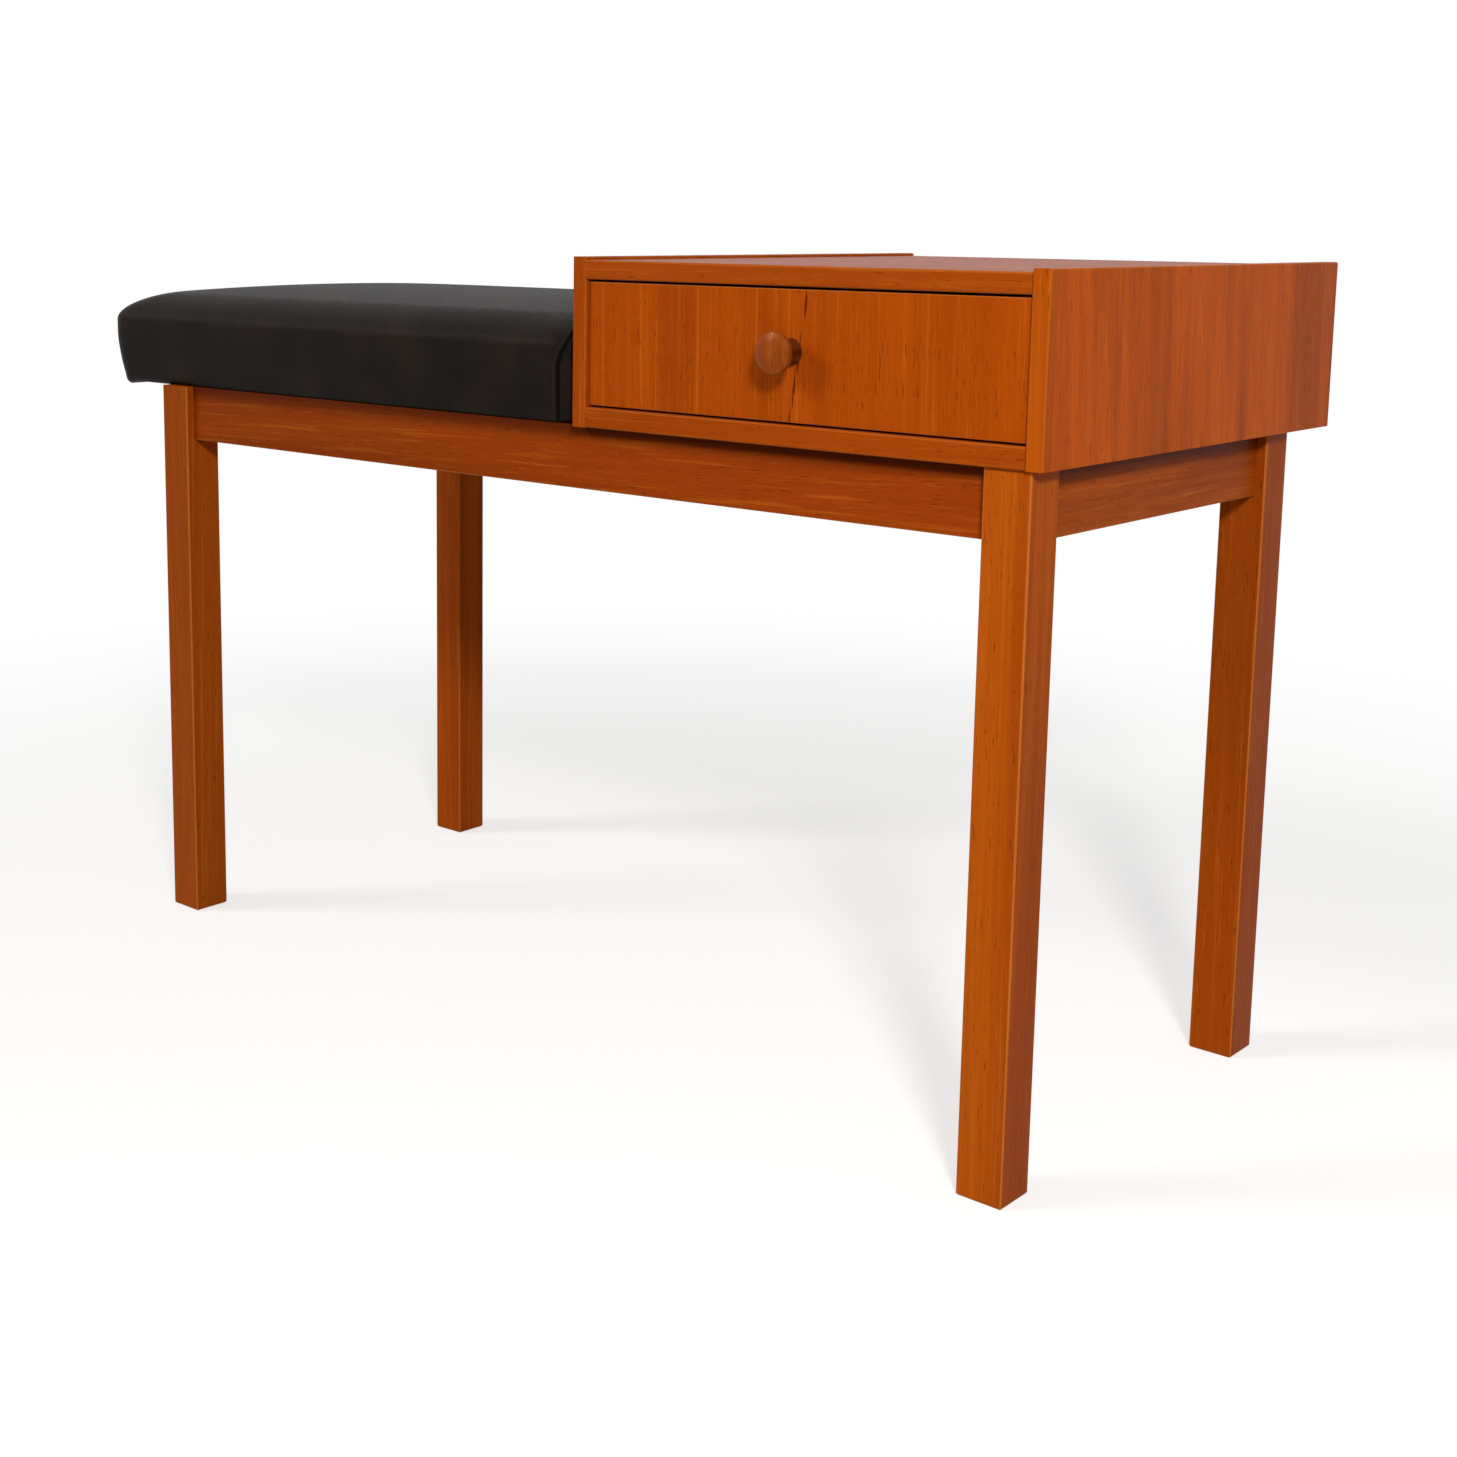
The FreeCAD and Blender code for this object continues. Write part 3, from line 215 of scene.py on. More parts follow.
def read_points(mesh: Mesh) -> np.ndarray:
    """Read a mesh's points.

    Args:
        mesh: The mesh.

    Returns:
        Rows of x, y, z.
    """
    points = np.empty(len(mesh.vertices) * 3)
    mesh.vertices.foreach_get("co", points)
    return points.reshape(-1, 3)


class Grain(Enum):
    """An axis of the bench, such as the one that the grain of a piece runs along."""

    ALONG_X = 0
    ALONG_Y = 1
    ALONG_Z = 2

    def cell(self, width: float, length: float) -> tuple[float, float, float]:
        """Size a pattern's cell, so that it is long with the grain.

        Args:
            width: Its width across the grain in metres.
            length: Its length along it in metres.

        Returns:
            The cell's size along x, y and z.
        """
        return tuple(length if axis == self.value else width for axis in range(3))


@dataclass(frozen=True)
class OiledTeak:
    """Solid teak, planed, sanded and rubbed with oil.

    It gives the eye a warm orange brown with soft darker bands, fine straight lines, short dark pores and a
    satin gloss; a highlight is painted paler on its rounded edges, and on some pieces shade is painted
    darker.

    Attributes:
        grain: The axis of the grain.
        place: The part of the tree that the piece was cut from, in metres, so that no two look alike.
        heart: The main colour.
        pale: The colour of the light lines.
        deep: The colour of the dark bands.
        pore: The colour in a pore.
        wear_and_highlight: The colour of the highlight painted on a rounded edge.
        band_width: Width of a dark band.
        band_share: How far a dark band takes the colour to deep.
        slant: The grain's lean in degrees.
        roughness: The mean roughness.
        shine: The strength of the reflection, low where the oil has sunk in and high where hands polish it.
        edge_highlight_share: How far the painted highlight takes a rounded edge's colour to
            wear_and_highlight.
        streak: The x and z of a broken dark streak up the face, and its lean in degrees, if there is one.
        painted_shade: Where shade is painted by darkening the colour, if anywhere: the axis, where it starts
        and where it is full along it, and how far it takes the colour to pore.
    """

    grain: Grain
    place: tuple[float, float, float] = (0.0, 0.0, 0.0)
    heart: str = "#b45208"
    pale: str = "#cf7a22"
    deep: str = "#933c06"
    pore: str = "#4a1a05"
    wear_and_highlight: str = "#d8863c"
    band_width: float = 24 * MM
    band_share: float = 0.75
    slant: float = 1.5
    roughness: float = 0.36
    shine: float = 0.03
    edge_highlight_share: float = 0.4
    streak: tuple[float, float, float] | None = None
    painted_shade: tuple[Grain, float, float, float] | None = None

    def material(self, name: str) -> Material:
        """Build the finish.

        Args:
            name: The piece that it is for.

        Returns:
            The material.
        """
        made, tree, spot = start_material(f"oiled_teak_{name}")
        lean = math.radians(self.slant)
        turn = (lean, lean, 0.0) if self.grain is Grain.ALONG_Z else (0.0, lean, lean)
        placed = add_node(tree, "ShaderNodeMapping",
                          {"Vector": spot["Object"], "Location": self.place, "Rotation": turn}).outputs[0]
        cell = self.grain.cell

        # Teak's growth zones are 10 to 30 mm wide on a straight board, and its fibre lines 1 to 2 mm apart.
        # Real pores are 0.3 mm wide, too fine to show, so they are drawn 0.8 mm wide and 9 mm long.
        bands = stretched_noise(tree, placed, cell(self.band_width, 0.7), 2.0, 0.36, 0.66)
        fibres = stretched_noise(tree, placed, cell(1.7 * MM, 0.16), 3.0, 0.30, 0.70)
        lines = stretched_noise(tree, placed, cell(3.0 * MM, 0.35), 2.0, 0.55, 0.75)
        glints = stretched_noise(tree, placed, cell(1.3 * MM, 30 * MM), 1.0, 0.62, 0.76)
        strokes = stretched_noise(tree, placed, cell(0.8 * MM, 9 * MM), 0.0, 0.70, 0.80)
        colour = linear(self.heart)
        for pattern, share, over in ((bands, self.band_share, self.deep), (fibres, 0.34, self.deep),
                                     (lines, 0.22, self.pale), (glints, 0.15, self.pale),
                                     (strokes, 0.45, self.pore)):
            colour = lay_over(tree, pattern, share, colour, linear(over))

        if self.streak:
            # A mineral streak is a line 1 mm wide, which moves across with height by its lean's tangent.
            along_x, along_z, tilt = self.streak
            slope = math.tan(math.radians(tilt))
            offset = add_node(tree, "ShaderNodeVectorMath",
                              {0: spot["Object"], 1: (1.0, 0.0, -slope)}, operation="DOT_PRODUCT")
            away = add_node(tree, "ShaderNodeMath", {0: offset.outputs["Value"], 1: along_x - along_z * slope,
                                                     2: 1.0 * MM}, operation="COMPARE")
            broken = stretched_noise(tree, placed, cell(1.6 * MM, 14 * MM), 1.0, 0.50, 0.58)
            torn = add_node(tree, "ShaderNodeMath", {0: away.outputs[0], 1: broken}, operation="MULTIPLY")
            colour = lay_over(tree, torn.outputs[0], 0.85, colour, linear(self.pore))
        # Painted shade: the colour is darkened towards pore along one axis, where shade falls on the piece.
        if self.painted_shade:
            axis, start, full, share = self.painted_shade
            depth = add_node(tree, "ShaderNodeSeparateXYZ", {0: spot["Object"]})
            dark = add_node(tree, "ShaderNodeMapRange",
                            {"Value": depth.outputs[axis.value], "From Min": start, "From Max": full},
                            interpolation_type="SMOOTHSTEP")
            colour = lay_over(tree, dark.outputs["Result"], share, colour, linear(self.pore))

        # A rounded edge is where the surface faces no axis, and a highlight is painted on it in a paler
        # colour.
        sides = add_node(tree, "ShaderNodeSeparateXYZ", {0: add_node(
            tree, "ShaderNodeVectorMath", {0: spot["Normal"]}, operation="ABSOLUTE").outputs[0]})
        facing = sides.outputs[0]
        for other in sides.outputs[1:]:
            facing = add_node(tree, "ShaderNodeMath", {0: facing, 1: other}, operation="MAXIMUM").outputs[0]
        edge_highlight = add_node(tree, "ShaderNodeMapRange", {"Value": facing, "From Min": 0.985, "From Max": 0.90},
                        interpolation_type="SMOOTHSTEP")
        colour = lay_over(tree, edge_highlight.outputs["Result"], self.edge_highlight_share, colour, linear(self.wear_and_highlight))

        gloss = add_node(tree, "ShaderNodeMapRange",
                         {"Value": fibres, "To Min": self.roughness - 0.05, "To Max": self.roughness + 0.06})
        height = add_node(tree, "ShaderNodeMath", {0: fibres, 1: strokes}, operation="SUBTRACT")
        bump = add_node(tree, "ShaderNodeBump",
                        {"Height": height.outputs[0], "Strength": 0.22, "Distance": 0.25 * MM})
        surface = add_node(tree, "ShaderNodeBsdfPrincipled",
                           {"Base Color": colour, "Roughness": gloss.outputs["Result"],
                            "Normal": bump.outputs[0], "IOR": 1.5, "Specular IOR Level": self.shine,
                            "Specular Tint": linear("#ffc48c")})
        add_node(tree, "ShaderNodeOutputMaterial", {"Surface": surface.outputs[0]})
        return made


@dataclass(frozen=True)
class PlainBeech:
    """Beech, planed and left plain inside the piece, where nobody looks.

    It gives the eye a pale pinkish tan with short brown flecks and no gloss.

    Attributes:
        grain: The axis of the grain.
        ground: The main colour.
        fleck: The colour of the flecks.
    """

    grain: Grain
    ground: str = "#c99c6c"
    fleck: str = "#9f6d41"

    def material(self, name: str) -> Material:
        """Build the finish.

        Args:
            name: The piece that it is for.

        Returns:
            The material.
        """
        made, tree, spot = start_material(f"plain_beech_{name}")
        # Beech rays show as flecks about 0.6 mm wide and 3 mm long, drawn 1 mm by 5 mm.
        flecks = stretched_noise(tree, spot["Object"], self.grain.cell(1.0 * MM, 5 * MM), 2.0, 0.58, 0.70)
        waves = stretched_noise(tree, spot["Object"], self.grain.cell(14 * MM, 0.3), 2.0, 0.35, 0.65)
        colour = lay_over(tree, waves, 0.35, linear(self.ground), linear(self.fleck))
        colour = lay_over(tree, flecks, 0.5, colour, linear(self.fleck))
        bump = add_node(tree, "ShaderNodeBump", {"Height": flecks, "Strength": 0.15, "Distance": 0.2 * MM})
        surface = add_node(tree, "ShaderNodeBsdfPrincipled",
                           {"Base Color": colour, "Roughness": 0.62, "IOR": 1.5, "Normal": bump.outputs[0]})
        add_node(tree, "ShaderNodeOutputMaterial", {"Surface": surface.outputs[0]})
        return made


@dataclass(frozen=True)
class BirchPlywood:
    """Birch plywood, sanded and left plain.

    It gives the eye a straw face with faint wavy lines, and an edge of thin light and dark layers.

    Attributes:
        through: The axis through the sheet's thickness.
        face: The colour of the face veneer.
        core: The colour of the cross layers on the edge.
        layer: The thickness of a layer.
    """

    through: Grain
    face: str = "#c9a272"
    core: str = "#8c6238"
    layer: float = 1.4 * MM

    def material(self, name: str) -> Material:
        """Build the finish.

        Args:
            name: The piece that it is for.

        Returns:
            The material.
        """
        made, tree, spot = start_material(f"birch_plywood_{name}")
        axis = self.through.value
        across = add_node(tree, "ShaderNodeSeparateXYZ", {0: spot["Object"]})
        facing = add_node(tree, "ShaderNodeSeparateXYZ", {0: add_node(
            tree, "ShaderNodeVectorMath", {0: spot["Normal"]}, operation="ABSOLUTE").outputs[0]})
        edge = add_node(tree, "ShaderNodeMath", {0: facing.outputs[axis], 1: 0.5}, operation="LESS_THAN")
        turns = add_node(tree, "ShaderNodeMath",
                         {0: across.outputs[axis], 1: math.pi / self.layer}, operation="MULTIPLY")
        wave = add_node(tree, "ShaderNodeMath", {0: turns.outputs[0]}, operation="SINE")
        dark = add_node(tree, "ShaderNodeMath", {0: wave.outputs[0], 1: 0.0}, operation="GREATER_THAN")
        part = add_node(tree, "ShaderNodeMath",
                        {0: dark.outputs[0], 1: edge.outputs[0]}, operation="MULTIPLY")
        # The veneer's lines run along x, some 6 mm apart and 125 mm long.
        cells = add_node(tree, "ShaderNodeMapping", {"Vector": spot["Object"], "Scale": (8.0, 160.0, 160.0)})
        noise = add_node(tree, "ShaderNodeTexNoise",
                         {"Vector": cells.outputs[0], "Scale": 1.0, "Detail": 3.0})
        grain = add_node(tree, "ShaderNodeMapRange",
                         {"Value": noise.outputs["Fac"], "From Min": 0.35, "From Max": 0.7, "To Max": 0.35})
        veneer = lay_over(tree, grain.outputs["Result"], 1.0, linear(self.face), linear(self.core))
        colour = lay_over(tree, part.outputs[0], 1.0, veneer, linear(self.core))
        surface = add_node(tree, "ShaderNodeBsdfPrincipled",
                           {"Base Color": colour, "Roughness": 0.6, "IOR": 1.5})
        add_node(tree, "ShaderNodeOutputMaterial", {"Surface": surface.outputs[0]})
        return made


@dataclass(frozen=True)
class BlackLeather:
    """Black upholstery leather, dyed through and finished with a thin wax.

    It gives the eye a near black with a faint brown, a fine pebbled grain and a broad soft sheen.

    Attributes:
        ground: The dye's colour.
        wear_and_highlight: The colour where the leather is worn.
        pebble: The width of a grain pebble, 0.6 mm in the hide and drawn coarser so that it shows.
        roughness: The mean roughness.
    """

    ground: str = "#140f0d"
    wear_and_highlight: str = "#1f1814"
    pebble: float = 1.3 * MM
    roughness: float = 0.52

    def material(self) -> Material:
        """Build the finish.

        Returns:
            The material.
        """
        made, tree, spot = start_material("waxed_black_leather")
        cloud = add_node(tree, "ShaderNodeTexNoise",
                         {"Vector": spot["Object"], "Scale": 1.0 / (45 * MM), "Detail": 3.0})
        wear = add_node(tree, "ShaderNodeMapRange",
                        {"Value": cloud.outputs["Fac"], "From Min": 0.4, "From Max": 0.7})
        colour = lay_over(tree, wear.outputs["Result"], 1.0, linear(self.ground), linear(self.wear_and_highlight))
        pebbles = add_node(tree, "ShaderNodeTexVoronoi",
                           {"Vector": spot["Object"], "Scale": 1.0 / self.pebble, "Randomness": 0.9},
                           feature="SMOOTH_F1")
        creases = add_node(tree, "ShaderNodeTexNoise",
                           {"Vector": spot["Object"], "Scale": 1.0 / (5 * MM), "Detail": 4.0})
        height = add_node(tree, "ShaderNodeMath",
                          {0: pebbles.outputs["Distance"], 1: creases.outputs["Fac"]}, operation="ADD")
        bump = add_node(tree, "ShaderNodeBump",
                        {"Height": height.outputs[0], "Strength": 0.35, "Distance": 0.25 * MM})
        gloss = add_node(tree, "ShaderNodeMapRange",
                         {"Value": creases.outputs["Fac"], "To Min": self.roughness - 0.06,
                          "To Max": self.roughness + 0.08})
        surface = add_node(tree, "ShaderNodeBsdfPrincipled",
                           {"Base Color": colour, "Roughness": gloss.outputs["Result"],
                            "Normal": bump.outputs[0], "IOR": 1.5, "Specular IOR Level": 0.055,
                            "Specular Tint": linear("#ffeee2")})
        add_node(tree, "ShaderNodeOutputMaterial", {"Surface": surface.outputs[0]})
        return made


@dataclass(frozen=True)
class BrightSteel:
    """Steel wire and screws with a thin zinc coat, drawn and tumbled.

    It gives the eye a cool grey metal with a soft shine and slightly clouded brightness.

    Attributes:
        metal: The reflected colour.
        roughness: The mean roughness.
    """

    metal: str = "#b9bcc0"
    roughness: float = 0.34

    def material(self) -> Material:
        """Build the finish.

        Returns:
            The material.
        """
        made, tree, spot = start_material("zinc_coated_steel")
        cloud = add_node(tree, "ShaderNodeTexNoise",
                         {"Vector": spot["Object"], "Scale": 1.0 / (2 * MM), "Detail": 3.0})
        gloss = add_node(tree, "ShaderNodeMapRange",
                         {"Value": cloud.outputs["Fac"], "To Min": self.roughness - 0.1,
                          "To Max": self.roughness + 0.14})
        surface = add_node(tree, "ShaderNodeBsdfPrincipled",
                           {"Base Color": linear(self.metal), "Metallic": 1.0,
                            "Roughness": gloss.outputs["Result"]})
        add_node(tree, "ShaderNodeOutputMaterial", {"Surface": surface.outputs[0]})
        return made


@dataclass(frozen=True)
class FoamRubber:
    """Open-celled foam, cast and cut. It gives the eye a dull cream full of tiny holes.

    Attributes:
        cream: The foam's colour.
        cell: The width of a cell.
    """

    cream: str = "#d9cfa8"
    cell: float = 1.5 * MM

    def material(self) -> Material:
        """Build the finish.

        Returns:
            The material.
        """
        made, tree, spot = start_material("open_celled_foam")
        holes = add_node(tree, "ShaderNodeTexVoronoi",
                         {"Vector": spot["Object"], "Scale": 1.0 / self.cell})
        bump = add_node(tree, "ShaderNodeBump",
                        {"Height": holes.outputs["Distance"], "Strength": 0.6, "Distance": 0.6 * MM})
        surface = add_node(tree, "ShaderNodeBsdfPrincipled",
                           {"Base Color": linear(self.cream), "Roughness": 0.95, "Normal": bump.outputs[0]})
        add_node(tree, "ShaderNodeOutputMaterial", {"Surface": surface.outputs[0]})
        return made


def dress(node: str, material: Material) -> None:
    """Give a CAD node its finish, through its object's material slots.

    Args:
        node: The node's name.
        material: The finish.
    """
    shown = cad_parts[node]
    if not shown.material_slots:
        shown.data.materials.append(material)
    for held in shown.material_slots:
        held.material = material
    log.info("%s is dressed in %s", node, material.name)


@dataclass
class LegFrame:
    """Four square legs and four aprons of teak, with beech blocks, a cross rail and dowels inside.

    Attributes:
        legs: Where in the tree each leg comes from, and its main colour, which also carries painted light and
        shade: a leg is made lighter or darker by how the light falls on it.
    """

    legs: dict[str, tuple[tuple[float, float, float], str]] = field(default_factory=lambda: {
        "leg_front_left": ((0.31, 0.12, 0.4), "#a04a10"), "leg_front_right": ((1.73, 0.55, 1.2), "#b2540e"),
        "leg_back_left": ((2.91, 1.31, 0.2), "#b45214"), "leg_back_right": ((4.17, 2.05, 0.9), "#a0460c")})

    def dress(self) -> None:
        """Finish the legs, aprons, blocks, rail and dowels."""
        for name, (place, heart) in self.legs.items():
            dress(name, OiledTeak(Grain.ALONG_Z, place, heart=heart, slant=0.8).material(name))
        # Painted light and shade: each apron's main colour is also made lighter or darker by how the light
        # falls on it.
        for name, grain, place, heart in (("apron_front", Grain.ALONG_X, (5.2, 0.7, 0.33), "#963d0a"),
                                          ("apron_back", Grain.ALONG_X, (6.1, 1.9, 0.71), "#963d0a"),
                                          ("apron_left", Grain.ALONG_Y, (7.4, 2.3, 1.13), "#9a3f0a"),
                                          ("apron_right", Grain.ALONG_Y, (8.3, 3.7, 1.57), "#ac4c0b")):
            # Painted shade: the top of an apron, under the edge of the cushion and the cabinet, is painted
            # darker where their shadow falls.
            dress(name, OiledTeak(grain, place, heart=heart, deep="#7c2f07",
                                  painted_shade=(Grain.ALONG_Z, 405 * MM, 417 * MM, 0.85)).material(name))
        for leg in self.legs:
            corner = leg.removeprefix("leg_")
            dress(f"corner_block_{corner}", PlainBeech(Grain.ALONG_Z).material(f"block_{corner}"))
        dress("cross_rail", PlainBeech(Grain.ALONG_Y).material("cross_rail"))
        dress("frame_dowels", PlainBeech(Grain.ALONG_X).material("frame_dowels"))


@dataclass
class PaddedSeat:
    """The foam seat in its black leather cover, on a plywood board.

    Attributes:
        leather: The cover's finish.
        steel: The finish of the staples and screws.
        middle: The seat's middle in x and y.
        half_length: Half its length in x.
        half_width: Half its width in y.
        corner: The corner's radius in plan, at the widest line.
        foot: The height that it stands at.
        wall: The height of its wall.
        lean: How far the wall leans out.
        edge_run: How far in the rounded edge reaches.
        edge_rise: How far it rises.
        crown: How far the middle rises above the rounded edge.
        hem: How far in the turned-in hem reaches.
        pleat_turn: How far round a right-hand corner the pleat stands, in degrees.
        pad_gap: How much smaller than the finished seat the copy is that is filled.
        pad_voxel: The size of that copy's even mesh.
        pad_held: How far up the board holds it.
        pad_pressure: The pressure from within.
        pad_give: The furthest that one of its points moves.
        pad_frames: How many frames it takes to settle.
        pad_passes: How often its unevenness is evened out.
        pad_share: How much of its form the stiff leather follows.
        sag: How far the hem hangs down past the left-hand legs.
    """

    leather: Material
    steel: Material
    middle: tuple[float, float] = (-168.9 * MM, 9.05 * MM)
    half_length: float = 253.3 * MM
    half_width: float = 182.7 * MM
    corner: float = 22 * MM
    foot: float = 419 * MM
    wall: float = 48.3 * MM
    lean: float = 6.4 * MM
    edge_run: float = 32.6 * MM
    edge_rise: float = 18.9 * MM
    crown: float = 8.4 * MM
    hem: float = 41.4 * MM
    pleat_turn: float = 16.0
    pad_gap: float = 1.0 * MM
    pad_voxel: float = 5 * MM
    pad_held: float = 10 * MM
    pad_pressure: float = 4.0
    pad_give: float = 2.4 * MM
    pad_frames: int = 20
    pad_passes: int = 24
    pad_share: float = 0.18
    sag: float = 2.9 * MM

    def stations(self, fine: bool) -> tuple[np.ndarray, np.ndarray]:
        """Spread columns round a rounded rectangle, closer together where the pleats stand.

        A column is a pull towards one side or corner, from -1 to 1 in x and y, and the direction that the
        rounded corner faces there. The walk goes once round, against the clock seen from above.

        Args:
            fine: Whether the right-hand corners get close columns.

        Returns:
            Rows of pulls and rows of directions.
        """
        pulls, turns = [], []
        corners = ((-1, -1), (1, -1), (1, 1), (-1, 1))
        close = 84 if fine else 12
        for at, ((x, y), count) in enumerate(zip(corners, (14, close, close, 14))):
            angle = np.radians(-180 + 90 * at + 90 * np.arange(count) / count)
            pulls.append(np.tile((x, y), (count, 1)))
            turns.append(np.column_stack((np.cos(angle), np.sin(angle))))
            ahead = corners[(at + 1) % 4]
            run = (self.half_length if at % 2 == 0 else self.half_width) * 2 / (5 * MM)
            part = np.linspace(0.0, 1.0, int(run) + 1)[:-1]
            if fine and at % 2 == 0:
                # Less a share of a sine wave, the columns of a long side stand closer at both of its ends.
                part = part - 0.09 * np.sin(2 * np.pi * part)
            pulls.append(np.outer(1 - part, (x, y)) + np.outer(part, ahead))
            facing = np.radians(-90 + 90 * at)
            turns.append(np.tile((np.cos(facing), np.sin(facing)), (len(part), 1)))
        return np.vstack(pulls), np.vstack(turns)

    def swell(self, x: np.ndarray, y: np.ndarray) -> np.ndarray:
        """The crown's rise over the seat: one less a power of the distance from the middle, along and across.

        Args:
            x: Distance from the middle along the seat.
            y: Distance from the middle across it.

        Returns:
            The rise in metres.
        """
        along = 1 - np.abs(x / self.half_length) ** 8
        across = 1 - np.abs(y / self.half_width) ** 2.3
        return self.crown * np.clip(along, 0, 1) * np.clip(across, 0, 1)

    def form(self, margin: float, fine: bool) -> tuple[np.ndarray, np.ndarray]:
        """Work out the cover's surface, from the hem's mouth up over the wall and edge to the crown's middle.

        The wall's inset is the lean times one less the sine of its height, the edge is a quarter ellipse with
        the crown's rise added by the square of its sine, and the crown's rings shrink to the middle.

        Args:
            margin: How much smaller than the finished seat it is.
            fine: Whether the columns are close at the pleats.

        Returns:
            Points by row and column, and for each row its height share, 0 on the hem to 1 at the middle.
        """
        pulls, turns = self.stations(fine)
        # The rows stand close at the hem's fold, and the wall's lowest 3 mm tuck in by 2.5 mm more.
        up = np.concatenate((np.array([0.1, 1.0, 2.0, 3.0]) * MM, np.linspace(4.6 * MM, self.wall, 27)))
        wall_in = self.lean * (1 - np.sin(np.pi / 2 * np.minimum(1, up / (0.85 * self.wall))))
        wall_in = wall_in + 2.5 * MM * np.maximum(0, 1 - up / (3 * MM)) ** 2
        turn = np.linspace(0, np.pi / 2, 21)[1:]
        edge_in = self.edge_run * (1 - np.cos(turn))
        under = np.array([0.0, 0.0, 0.012, 0.2, 0.4, 0.6, 0.8, 0.9])
        hem_in = self.hem - (self.hem - wall_in[0]) * under
        hem_up = np.array([1.0, 0.3, 0.1, 0.1, 0.1, 0.1, 0.1, 0.1]) * MM
        shrink = np.linspace(1, 0, 26)[1:-1] ** 0.85

        inset = np.concatenate((hem_in, wall_in, edge_in, np.full(len(shrink), self.edge_run))) + margin
        scale = np.concatenate((np.ones(len(hem_in) + len(wall_in) + len(edge_in)), shrink))
        level = np.concatenate((hem_up, up, np.full(len(edge_in) + len(shrink), self.wall)))
        lift = np.concatenate((np.zeros(len(hem_in) + len(wall_in)), np.sin(turn), np.ones(len(shrink))))

        # The corner's radius grows by a quarter of the inset over the edge, and shrinks by half of it below.
        half = np.stack((self.half_length - inset, self.half_width - inset), axis=1)
        bend = np.where(lift > 0, self.corner + inset / 4, self.corner - np.minimum(inset, 32 * MM) / 2)
        bend = np.maximum(bend, 4 * MM)
        flat = (pulls[None] * (half - bend[:, None])[:, None] + turns[None] * bend[:, None, None])
        flat = flat * scale[:, None, None]
        rise = self.edge_rise * lift[:, None] + self.swell(flat[..., 0], flat[..., 1]) * lift[:, None] ** 2
        height = self.foot + level[:, None] + rise - margin * (lift[:, None] > 0)
        points = np.dstack((flat[..., 0] + self.middle[0], flat[..., 1] + self.middle[1], height))
        return points, lift

    def quads(self, rows: int, columns: int) -> np.ndarray:
        """Number the quads of a closed ring grid, facing outwards, with the pole's triangles last.

        Args:
            rows: The number of rows.
            columns: The number of columns.

        Returns:
            Rows of four point numbers.
        """
        row, column = np.meshgrid(np.arange(rows - 1), np.arange(columns), indexing="ij")
        ahead = (column + 1) % columns
        sides = np.stack((row * columns + column, row * columns + ahead,
                          (row + 1) * columns + ahead, (row + 1) * columns + column), axis=-1).reshape(-1, 4)
        last = (rows - 1) * columns + np.arange(columns)
        pole = np.full(columns, rows * columns)
        top = np.stack((last, np.roll(last, -1), pole, pole), axis=-1)
        return np.vstack((sides, top))

    def filled(self) -> Object:
        """Swell a slightly smaller copy of the seat with Cloth, and return the mesh that it comes to.

        The copy is closed below, remeshed evenly and blown up from within. Its lowest part stays put, because
        the board holds it, and each step of a point is cut to the most that the filling gives.

        Returns:
            The swollen object, which the cover is then fitted to.
        """
        points, _ = self.form(self.pad_gap, False)
        rows, columns = points.shape[:2]
        crown = np.array([[*self.middle, self.foot + self.wall + self.edge_rise + self.crown - self.pad_gap]])
        under = np.array([[*self.middle, self.foot + self.pad_gap]])
        flat = np.vstack((points.reshape(-1, 3), crown, under))
        first = np.arange(columns)
        low = np.full(columns, rows * columns + 1)
        floor = np.stack((np.roll(first, -1), first, low, low), axis=-1)
        pad = mesh_object("swelling_pad", flat, np.vstack((self.quads(rows, columns), floor)))
        bpy.context.view_layer.objects.active = pad
        pad.select_set(True)
        remesh = pad.modifiers.new("even_mesh", "REMESH")
        remesh.mode, remesh.voxel_size = "VOXEL", self.pad_voxel
        bpy.ops.object.modifier_apply(modifier=remesh.name)
        mesh = pad.data
        start = read_points(mesh)
        held = pad.vertex_groups.new(name="held_by_board")
        held.add(np.flatnonzero(start[:, 2] < self.foot + self.pad_held).tolist(), 1.0, "REPLACE")
        cloth = pad.modifiers.new("filling", "CLOTH")
        cloth.settings.quality = 5
        cloth.settings.vertex_group_mass = held.name
        cloth.settings.use_pressure = True
        cloth.settings.uniform_pressure_force = self.pad_pressure
        cloth.settings.effector_weights.gravity = 0.0
        for number in range(1, self.pad_frames + 1):
            bpy.context.scene.frame_set(number)
        step = read_points(pad.evaluated_get(bpy.context.evaluated_depsgraph_get()).data) - start
        length = np.linalg.norm(step, axis=1, keepdims=True)
        step = step * np.minimum(1.0, self.pad_give / np.maximum(length, 1e-9))
        pad.modifiers.remove(cloth)
        bpy.context.scene.frame_set(1)
        mesh.vertices.foreach_set("co", (start + step).ravel())
        mesh.update()
        finer = pad.modifiers.new("finer", "SUBSURF")
        finer.levels = finer.render_levels = 1
        bpy.ops.object.modifier_apply(modifier=finer.name)
        pad.select_set(False)
        log.info("the filling moved %d of %d points", int((length > 0.1 * MM).sum()), len(length))
        return pad

    def pleats(self, points: np.ndarray, lift: np.ndarray) -> np.ndarray:
        """Fold a pleat into the wall at each right-hand corner, after the filling.

        A pleat's line stands upright near the start of the corner, then bends round it towards the cabinet.
        Across the line the front leather rises to a rounded lip and drops into a narrow groove, and the
        leather beyond it lies a little deeper and comes back up, with a few slanting wrinkles.

        Args:
            points: The cover's points by row and column.
            lift: For each row how far up the rounded edge it is, from 0 to 1.

        Returns:
            The folded points.
        """
        _, turns = self.stations(True)
        high = points[..., 2] - self.foot
        x, y = points[..., 0], points[..., 1]
